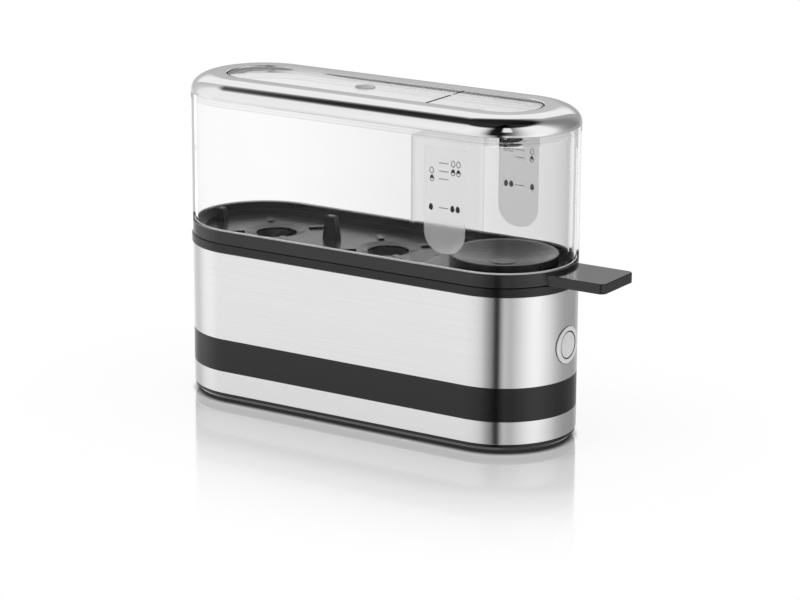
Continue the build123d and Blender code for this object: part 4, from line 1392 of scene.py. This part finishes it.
    def _panel(self, side: int) -> Piece:
        """Makes one raised scale panel with a rounded lower end.

        Args:
            side: -1 at the front and 1 at the back.

        Returns:
            The panel.
        """
        left, right = sorted(self._across(x, side) for x in self.panel_x)
        low, high = self.panel_z
        size = (right - left, self.panel_proud - self.panel_gap, high - low)
        out = self.radius + (self.panel_proud + self.panel_gap) / 2
        panel = Bench.box(size, ((left + right) / 2, side * out, (low + high) / 2))
        Bench.edit(panel)
        Bench.choose(panel, Pick.EDGES, lambda edge: self._runs_in(edge) and edge[0].z < low + TOLERANCE)
        bpy.ops.mesh.bevel(offset=self.panel_corner, segments=12)
        Bench.choose(panel, Pick.FACES, on_plane(1, side * (self.radius + self.panel_proud)))
        bpy.ops.mesh.bevel(offset=self.panel_proud / 3, segments=2)
        bpy.ops.object.mode_set(mode="OBJECT")
        return panel

    @staticmethod
    def _runs_in(edge: list[Vector]) -> bool:
        """Tests whether an edge runs along Y."""
        return abs(edge[0].y - edge[-1].y) > TOLERANCE and abs(edge[0].x - edge[-1].x) < TOLERANCE

    def _scale(self, side: int) -> Piece:
        """Makes the printed scale of one panel as one piece.

        Args:
            side: -1 at the front and 1 at the back.

        Returns:
            The scale.
        """
        out = side * (self.radius + self.panel_proud + self.ink / 2)
        drop = self.back_drop if side > 0 else 0.0
        dash = (self.dash_width, self.ink, self.line)
        dash_x = self._across(self.dash_x, side)
        parts = [Bench.box(dash, (dash_x, out, height - drop)) for height in self.dashes]
        for row in self.rows:
            for x in row.places:
                parts.append(self._mark(row.fill, Vector((self._across(x, side), out, row.height - drop))))
        Bench.clear()
        for part in parts:
            part.select_set(True)
        bpy.context.view_layer.objects.active = parts[0]
        bpy.ops.object.join()
        return parts[0]

    def _mark(self, fill: Fill, centre: Vector) -> Piece:
        """Makes one printed egg.

        Args:
            fill: How much of it is printed.
            centre: The middle of its ink.

        Returns:
            The egg.
        """
        width, height = self.egg
        sign = self._egg_disc(centre, width, height, self.ink)
        if fill is Fill.SOLID:
            return sign
        inner = self._egg_disc(centre, width - self.line, height - self.line, 4 * self.ink)
        if fill is Fill.HALF:
            Bench.edit(inner)
            bpy.ops.mesh.select_all(action="SELECT")
            bpy.ops.mesh.bisect(plane_co=centre, plane_no=(0, 0, 1), use_fill=True, clear_outer=True)
            bpy.ops.object.mode_set(mode="OBJECT")
        Bench.combine(sign, inner, "DIFFERENCE")
        return sign

    def _egg_disc(self, centre: Vector, half_width: float, half_height: float, depth: float) -> Piece:
        """Makes a thin disc with an egg's outline, its tip up.

        Args:
            centre: Its middle.
            half_width: Half its width.
            half_height: Half its height.
            depth: Its thickness.

        Returns:
            The disc.
        """
        reach = Vector((0, depth / 2, 0))
        narrow, tall = self.egg_tip
        disc = Bench.rod(half_width, centre - reach, centre + reach, sides=28)
        Bench.edit(disc)
        bpy.ops.mesh.select_all(action="SELECT")
        bpy.ops.transform.resize(value=(1, 1, half_height / half_width), center_override=centre)
        Bench.choose(disc, Pick.POINTS, lambda point: point[0].z > centre.z + TOLERANCE)
        bpy.ops.transform.resize(value=(narrow, 1, tall), center_override=centre)
        bpy.ops.object.mode_set(mode="OBJECT")
        return disc


@dataclass
class KeySpring:
    """The coil that pushes the key back out."""

    wire: float = mm(0.25)
    radius: float = mm(3.2)
    turns: int = 4

    def build(self, looks: Looks) -> None:
        """Builds the coil along X.

        Args:
            looks: The finished materials by name.
        """
        low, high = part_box("button_spring")
        length = high.x - low.x
        Bench.clear()
        bpy.ops.mesh.primitive_circle_add(
            vertices=10, radius=self.wire, location=(self.radius, 0, 0), rotation=(pi / 2, 0, 0)
        )
        coil = bpy.context.object
        bpy.ops.object.transform_apply(location=True, rotation=True, scale=True)
        pitch = (length - 2 * self.wire) / self.turns
        Bench.modify(
            coil, "SCREW", axis="Z", screw_offset=pitch, iterations=self.turns, angle=2 * pi, steps=28,
            render_steps=28, use_merge_vertices=True,
        )
        coil.rotation_euler = (0, pi / 2, 0)
        coil.location = (low.x + self.wire, 0, (low.z + high.z) / 2)
        Bench.finish(coil, "key_coil", angle=60)
        self._close(coil)
        dress(coil, looks["screw_plated"])
        settle(coil, Body.BASE, ["button_spring"])
        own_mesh(coil)

    @staticmethod
    def _close(coil: Piece) -> None:
        """Closes both ends of the wire.

        Args:
            coil: The coil.
        """
        Bench.edit(coil)
        bpy.ops.mesh.select_all(action="DESELECT")
        bpy.ops.mesh.select_non_manifold()
        bpy.ops.mesh.edge_face_add()
        bpy.ops.object.mode_set(mode="OBJECT")
        Bench.tidy(coil)


@dataclass
class CarriedOver:
    """The CAD nodes that keep their own shape and get a finish."""

    nodes: dict[str, Piece]

    def build(self, finishes: dict[str, Sequence[str]], looks: Looks) -> None:
        """Dresses the nodes.

        Args:
            finishes: Node names by finish.
            looks: The finished materials by name.
        """
        for finish, names in finishes.items():
            for name in names:
                dress(self.nodes[name], looks[finish])
                LOG.info("%s is dressed in %s", name, finish)


# Camera and studio


@dataclass(frozen=True)
class PhotoCamera:
    """The photograph's viewpoint, worked out from the outline."""

    place: tuple[float, float, float] = (0.67142, -1.04493, 0.38994)
    azimuth: float = 32.79315
    elevation: float = 15.293865
    roll: float = 0.255769
    focal_pixels: float = 3022.27
    image_width: float = 800.0
    sensor: float = 36.0
    near_limit: float = 0.05

    def build(self) -> None:
        """Adds the camera and makes it the scene's."""
        Bench.clear()
        bpy.ops.object.camera_add(location=self.place)
        camera = bpy.context.object
        turn, lift, roll = (radians(angle) for angle in (self.azimuth, self.elevation, self.roll))
        ahead = Vector((-sin(turn) * cos(lift), cos(turn) * cos(lift), -sin(lift)))
        level = Vector((cos(turn), sin(turn), 0))
        upright = level.cross(ahead)
        right = level * cos(roll) + upright * sin(roll)
        up = upright * cos(roll) - level * sin(roll)
        camera.rotation_euler = Matrix((right, up, -ahead)).transposed().to_euler()
        camera.data.sensor_fit = "HORIZONTAL"
        camera.data.sensor_width = self.sensor
        camera.data.lens = self.focal_pixels / self.image_width * self.sensor
        camera.data.clip_start = self.near_limit
        bpy.context.scene.camera = camera


def as_turn(bearing: float) -> float:
    """Returns a bearing in degrees as a turn, from 0 at the back left round to 1."""
    return bearing / 360 + 0.5


@dataclass(frozen=True)
class SoftBox:
    """A bright window in the surroundings, by bearing in degrees and height on the unit sphere."""

    left: float
    right: float
    low: float
    high: float
    level: float
    foot: float = 0.06
    edge: float = 0.06
    side: float = 5.0

    def shine(self, recipe: Recipe, turn: Socket, height: Socket) -> Socket:
        """Works out how brightly it shines.

        Args:
            recipe: The world's recipe.
            turn: The direction's bearing as a turn.
            height: The direction's Z.

        Returns:
            Its level where it stands, 0 elsewhere.
        """
        left = recipe.spread(turn, as_turn(self.left - self.side), as_turn(self.left))
        right = recipe.spread(turn, as_turn(self.right), as_turn(self.right + self.side), 1.0, 0.0)
        low = recipe.spread(height, self.low - self.foot, self.low)
        high = recipe.spread(height, self.high, self.high + self.edge, self.level, 0.0)
        sides = recipe.math("MULTIPLY", left, right)
        return recipe.math("MULTIPLY", sides, recipe.math("MULTIPLY", low, high))


@dataclass(frozen=True)
class Studio:
    """A white seamless table with soft boxes round it, as they show in the metal.

    Bearings are in degrees from the front towards the right; levels are 1 for white.
    """

    outline: Outline
    table_size: float = 8.0
    world_light: float = 0.72
    key_power: float = 9.0
    key_size: float = 1.2
    key_place: tuple[float, float, float] = (-0.9, -1.1, 1.5)
    key_aim: tuple[float, float, float] = (0.0, 0.0, 0.06)
    matte_tone: float = 0.8
    gloss_share: float = 0.5
    matte_share: float = 0.12
    table_glow: float = 0.38
    table_roughness: float = 0.09
    fade_length: float = mm(130)
    fade: tuple[Pair, ...] = (
        (0.06, 0.0), (0.12, 0.2), (0.23, 0.3), (0.32, 0.38), (0.42, 0.58), (0.5, 0.67), (0.62, 0.82),
        (0.73, 0.9), (0.85, 0.96), (1.0, 1.0),
    )
    film_height: float = mm(0.05)
    film_refraction: float = 1.001
    under_level: float = 0.2
    # Painted shadow on the table as the metal mirrors it: it fades in over this distance from the object's
    # outline.
    contact_shadow_fade: Pair = (mm(20), mm(100))
    contact_shadow_level: float = 0.87
    # Painted shadow along the object's outline: where it fades in, outside the outline, and its darkest share.
    foot_shadow: Pair = (mm(-2.8), mm(1.8))
    foot_shadow_level: float = 0.06
    ceiling: Pair = (0.80, 0.90)
    ceiling_lean: float = 0.12
    ceiling_level: float = 0.03
    walls: tuple[Pair, ...] = (
        (-180, 0.40), (-150, 0.46), (-135, 0.55), (-110, 0.60), (-97, 0.75), (-87, 0.93), (-60, 0.97),
        (-45, 0.94), (-30, 0.99), (-10, 0.88), (-1, 0.52), (5, 0.15), (9, 0.01), (27, 0.01), (39, 0.15),
        (50, 0.45), (60, 0.75), (70, 0.93), (80, 1.0), (100, 1.0), (110, 0.95), (120, 0.6), (130, 0.38),
        (140, 0.29), (150, 0.25), (165, 0.25), (180, 0.40),
    )
    table: tuple[Pair, ...] = (
        (-180, 0.50), (-153, 0.60), (-145, 1.0), (-129, 0.97), (-121, 0.77), (-109, 0.665), (-97, 0.68),
        (-85, 0.895), (-73, 1.0), (-61, 1.0), (-49, 0.90), (-30, 0.90), (-15, 0.84), (-3, 0.73), (3, 0.55),
        (9, 0.40), (13, 0.33), (17, 0.12), (19, 0.03), (24, 0.03), (28, 0.42), (33, 0.70), (43, 0.56),
        (57, 0.79), (66, 0.93), (78, 1.08), (88, 1.08), (99, 0.93), (111, 0.75), (123, 0.54), (141, 0.40),
        (168, 0.37),
    )
    boxes: tuple[SoftBox, ...] = (
        SoftBox(-170, -120, 0.36, 0.74, 0.97, foot=0.36),
        SoftBox(28, 40, 0.52, 0.86, 0.9),
    )

    def build(self) -> None:
        """Builds the table, the surroundings and the lamp."""
        bpy.context.scene.view_settings.view_transform = "Standard"
        self._sheet("table_top", 0.0, self._table_look())
        self._sheet("table_film", self.film_height, self._film_look())
        self._surroundings()
        self._lamp()

    def _sheet(self, name: str, height: float, look: Material) -> None:
        """Adds a level sheet that belongs to the studio.

        Args:
            name: Its name.
            height: How high it lies.
            look: Its material.
        """
        Bench.clear()
        bpy.ops.mesh.primitive_plane_add(size=self.table_size, location=(0, 0, height))
        sheet = bpy.context.object
        sheet.name = name
        dress(sheet, look)

    @staticmethod
    def _turn(recipe: Recipe, x: Socket, y: Socket) -> Socket:
        """Returns a level direction's bearing as a turn."""
        bearing = recipe.math("ARCTAN2", x, recipe.math("MULTIPLY", y, -1.0))
        return recipe.math("ADD", recipe.math("DIVIDE", bearing, 2 * pi), 0.5)

    @staticmethod
    def _stops(levels: Sequence[Pair]) -> list[Pair]:
        """Returns levels by bearing as levels by turn."""
        return [(as_turn(bearing), level) for bearing, level in levels]

    def _table_look(self) -> Material:
        """Makes the table's look: white, with the object's shadow, partly cast and partly painted along its
        outline, and a reflection that fades.

        Returns:
            The material.
        """
        material = bpy.data.materials.new("table_white")
        recipe = emptied(material)
        distance = recipe.outside(recipe.node("NewGeometry").outputs["Position"], self.outline)
        matte = recipe.node("BsdfDiffuse", {"Color": grey(self.matte_tone)})
        white = recipe.node("Emission", {"Color": grey(1.0)})
        far = recipe.ramp(recipe.math("DIVIDE", distance, self.fade_length), self.fade)
        seen = recipe.join(self._near_look(recipe, distance), white, far)
        path = recipe.node("LightPath").outputs
        direct = recipe.math("MAXIMUM", path["Is Camera Ray"], path["Is Transmission Ray"])
        lit = recipe.join(matte, seen, direct)
        recipe.show(recipe.join(lit, self._mirrored_look(recipe, distance), path["Is Glossy Ray"]))
        return material

    def _film_look(self) -> Material:
        """Makes the film's look: the table's own reflection shows white in it, not the soft boxes.

        Returns:
            The material.
        """
        material = bpy.data.materials.new("table_film")
        recipe = emptied(material)
        path = recipe.node("LightPath").outputs["Is Glossy Ray"]
        rising = recipe.math("MULTIPLY", path, recipe.node("NewGeometry").outputs["Backfacing"])
        clear = recipe.node("BsdfTransparent")
        passed = recipe.node("BsdfRefraction", {"Roughness": 0.0, "IOR": self.film_refraction})
        recipe.show(recipe.join(clear, passed, rising))
        return material

    def _near_look(self, recipe: Recipe, distance: Socket) -> Node:
        """Makes the table's look next to the object: part matte, part polished, with a painted shadow along
        the object's outline.

        Args:
            recipe: The table's material.
            distance: How far a point lies outside the object's outline.

        Returns:
            The shader.
        """
        # Painted shadow: the table darkens towards the object's outline.
        unshadowed_share = recipe.spread(distance, *self.foot_shadow, self.foot_shadow_level, 1.0)
        shares = (self.gloss_share, self.matte_share, self.table_glow)
        tones = [recipe.math("MULTIPLY", unshadowed_share, share) for share in shares]
        gloss = recipe.node("BsdfGlossy", {"Color": tones[0], "Roughness": self.table_roughness})
        white = recipe.node("BsdfDiffuse", {"Color": tones[1]})
        glow = recipe.node("Emission", {"Color": tones[2]})
        return recipe.join(recipe.join(gloss, white), glow)

    def _mirrored_look(self, recipe: Recipe, distance: Socket) -> Node:
        """Makes the table's look in the metal: the soft boxes' light on it, by bearing, with a painted shadow
        that darkens it near the object.

        Args:
            recipe: The table's material.
            distance: How far a point lies outside the object's outline.

        Returns:
            The shader.
        """
        back = recipe.node("SeparateXYZ", {"Vector": recipe.node("NewGeometry").outputs["Incoming"]})
        ahead = [recipe.math("MULTIPLY", back.outputs[axis], -1.0) for axis in (0, 1)]
        level = recipe.ramp(self._turn(recipe, *ahead), self._stops(self.table))
        # Painted shadow: the mirrored table darkens near the object.
        contact_shadow = recipe.spread(distance, *self.contact_shadow_fade, self.contact_shadow_level, 1.0)
        return recipe.node("Emission", {"Color": recipe.math("MULTIPLY", level, contact_shadow)})

    def _surroundings(self) -> None:
        """Makes the world: white to look at, plain as light, and soft boxes with dark gaps in mirrors."""
        world = bpy.data.worlds.new("studio")
        bpy.context.scene.world = world
        recipe = emptied(world)
        x, y, z = recipe.node("SeparateXYZ", {"Vector": recipe.node("TexCoord").outputs["Generated"]}).outputs
        turn = self._turn(recipe, x, y)
        lean = recipe.math("SUBTRACT", z, recipe.math("MULTIPLY", x, self.ceiling_lean))
        roof = recipe.spread(lean, *self.ceiling, 1.0, self.ceiling_level)
        mirrored = recipe.math("MULTIPLY", recipe.ramp(turn, self._stops(self.walls)), roof)
        for box in self.boxes:
            mirrored = recipe.math("MAXIMUM", mirrored, box.shine(recipe, turn, z))
        path = recipe.node("LightPath").outputs
        past_film = recipe.math("MINIMUM", path["Transmission Depth"], 1.0)
        dimming = recipe.math("SUBTRACT", 1.0, recipe.math("MULTIPLY", past_film, 1 - self.under_level))
        plain = recipe.math("MULTIPLY", path["Is Diffuse Ray"], self.world_light)
        glossy = recipe.math("MULTIPLY", path["Is Glossy Ray"], recipe.math("MULTIPLY", mirrored, dimming))
        shown = recipe.math("MAXIMUM", path["Is Camera Ray"], path["Is Transmission Ray"])
        level = recipe.math("MAXIMUM", recipe.math("MAXIMUM", plain, glossy), shown)
        recipe.show(recipe.node("Background", {"Color": level}), "OutputWorld")

    def _lamp(self) -> None:
        """Adds one large soft lamp above the left front."""
        Bench.clear()
        bpy.ops.object.light_add(type="AREA", location=self.key_place)
        lamp = bpy.context.object
        lamp.data.energy = self.key_power
        lamp.data.size = self.key_size
        lamp.visible_glossy = False
        aim = Vector(self.key_aim) - lamp.location
        lamp.rotation_euler = aim.to_track_quat("-Z", "Y").to_euler()


def make_materials() -> Looks:
    """Makes every finish once.

    Returns:
        The materials by name.
    """
    finishes = (
        BrushedMetal("steel_brushed"),
        PlainMetal("steel_pressed", (0.62, 0.62, 0.62), roughness=0.32),
        PlainMetal(
            "chrome_polished", (0.86, 0.86, 0.87), roughness=0.05, unevenness=0.02, fineness=300.0,
            depth=mm(0.0005),
        ),
        KeySilver("key_satin"),
        PlainMetal("screw_plated", (0.5, 0.5, 0.52), roughness=0.36, unevenness=0.12),
        PlainMetal("zinc_plated", (0.58, 0.6, 0.62), roughness=0.4, unevenness=0.15),
        PlainMetal(
            "aluminium_cast", (0.55, 0.55, 0.56), roughness=0.55, unevenness=0.2, fineness=900.0,
            depth=mm(0.05),
        ),
        PlainMetal("element_sheath", (0.3, 0.28, 0.26), roughness=0.45, unevenness=0.4),
        PlainMetal("pin_ground", (0.68, 0.68, 0.7), roughness=0.22, unevenness=0.04),
        Moulded("black_satin", (0.004, 0.004, 0.0042), roughness=0.2, unevenness=0.04, depth=mm(0.002)),
        TrayPlastic(
            "black_gloss", (0.016, 0.016, 0.017), roughness=0.14, unevenness=0.03, fineness=900.0,
            depth=mm(0.002),
        ),
        # Painted light on the hood's clear edges.
        Moulded("plastic_edge_light", (0.7, 0.7, 0.7), roughness=0.35, unevenness=0.02),
        Moulded("seam_shade", (0.2, 0.2, 0.2), roughness=0.4),
        Moulded(
            "rubber_black", (0.02, 0.02, 0.02), roughness=0.75, unevenness=0.1, fineness=1200.0, depth=mm(0.03)
        ),
        Moulded("silicone_red", (0.42, 0.1, 0.06), roughness=0.55, unevenness=0.08),
        Moulded("switch_grey", (0.05, 0.05, 0.055), roughness=0.5),
        Moulded("board_green", (0.03, 0.16, 0.06), roughness=0.4, unevenness=0.15),
        Moulded("block_ivory", (0.7, 0.68, 0.6), roughness=0.5, unevenness=0.05),
        Moulded("wire_brown", (0.12, 0.045, 0.02), roughness=0.45),
        Moulded("wire_blue", (0.02, 0.08, 0.35), roughness=0.45),
        Moulded("ink_black", (0.01, 0.01, 0.01), roughness=0.6, unevenness=0.05),
        HoodPlastic("plastic_clear", polish=0.1),
        ClearPlastic("plastic_cup", refraction=1.014, polish=0.05),
        ClearPlastic("plastic_pane", tint=0.985, refraction=1.25),
        ClearPlastic("plastic_corner_shade", tint=0.8, refraction=1.014, polish=0.05),
        ClearPlastic(
            "plastic_frosted", tint=1.0, roughness=0.3, haze=0.05, refraction=1.04, transmission=0.78
        ),
    )
    return {finish.name: finish.make() for finish in finishes}


CARRIED = {
    "black_satin": ("base_plate", "chassis", "top_rim", "buzzer"),
    "black_gloss": ("egg_tray",),
    "rubber_black": (
        "foot_front_left", "foot_front_right", "foot_back_left", "foot_back_right", "cord_gland",
    ),
    "silicone_red": ("bowl_gasket",),
    "steel_pressed": ("heating_bowl",),
    "aluminium_cast": ("heater_plate", "thermostat", "thermal_fuse"),
    "element_sheath": ("heating_element",),
    "zinc_plated": ("heater_strap_left", "heater_strap_right", "switch_bracket"),
    "screw_plated": (
        "base_screws", "strap_screws", "bowl_nuts", "thermostat_screws", "bracket_screws", "board_screws",
    ),
    "key_satin": ("button_bezel", "button_cap"),
    "pin_ground": ("egg_pick",),
    "switch_grey": ("switch_housing",),
    "board_green": ("circuit_board",),
    "block_ivory": ("terminal_block",),
    "wire_brown": ("live_wire", "switch_wire", "thermostat_wire"),
    "wire_blue": ("neutral_wire",),
}


def main() -> None:
    """Builds the scene round the frame."""
    logging.basicConfig(level=logging.INFO, format="%(message)s")
    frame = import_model()
    outline = Outline()
    PhotoCamera().build()
    Studio(outline).build()
    looks = make_materials()
    CarriedOver(frame["nodes"]).build(CARRIED, looks)
    for builder in (SteelWalls(outline), Hood(outline), Cup(outline), KeySpring()):
        builder.build(looks)
    Bench.clear()


if __name__ == "__main__":
    main()
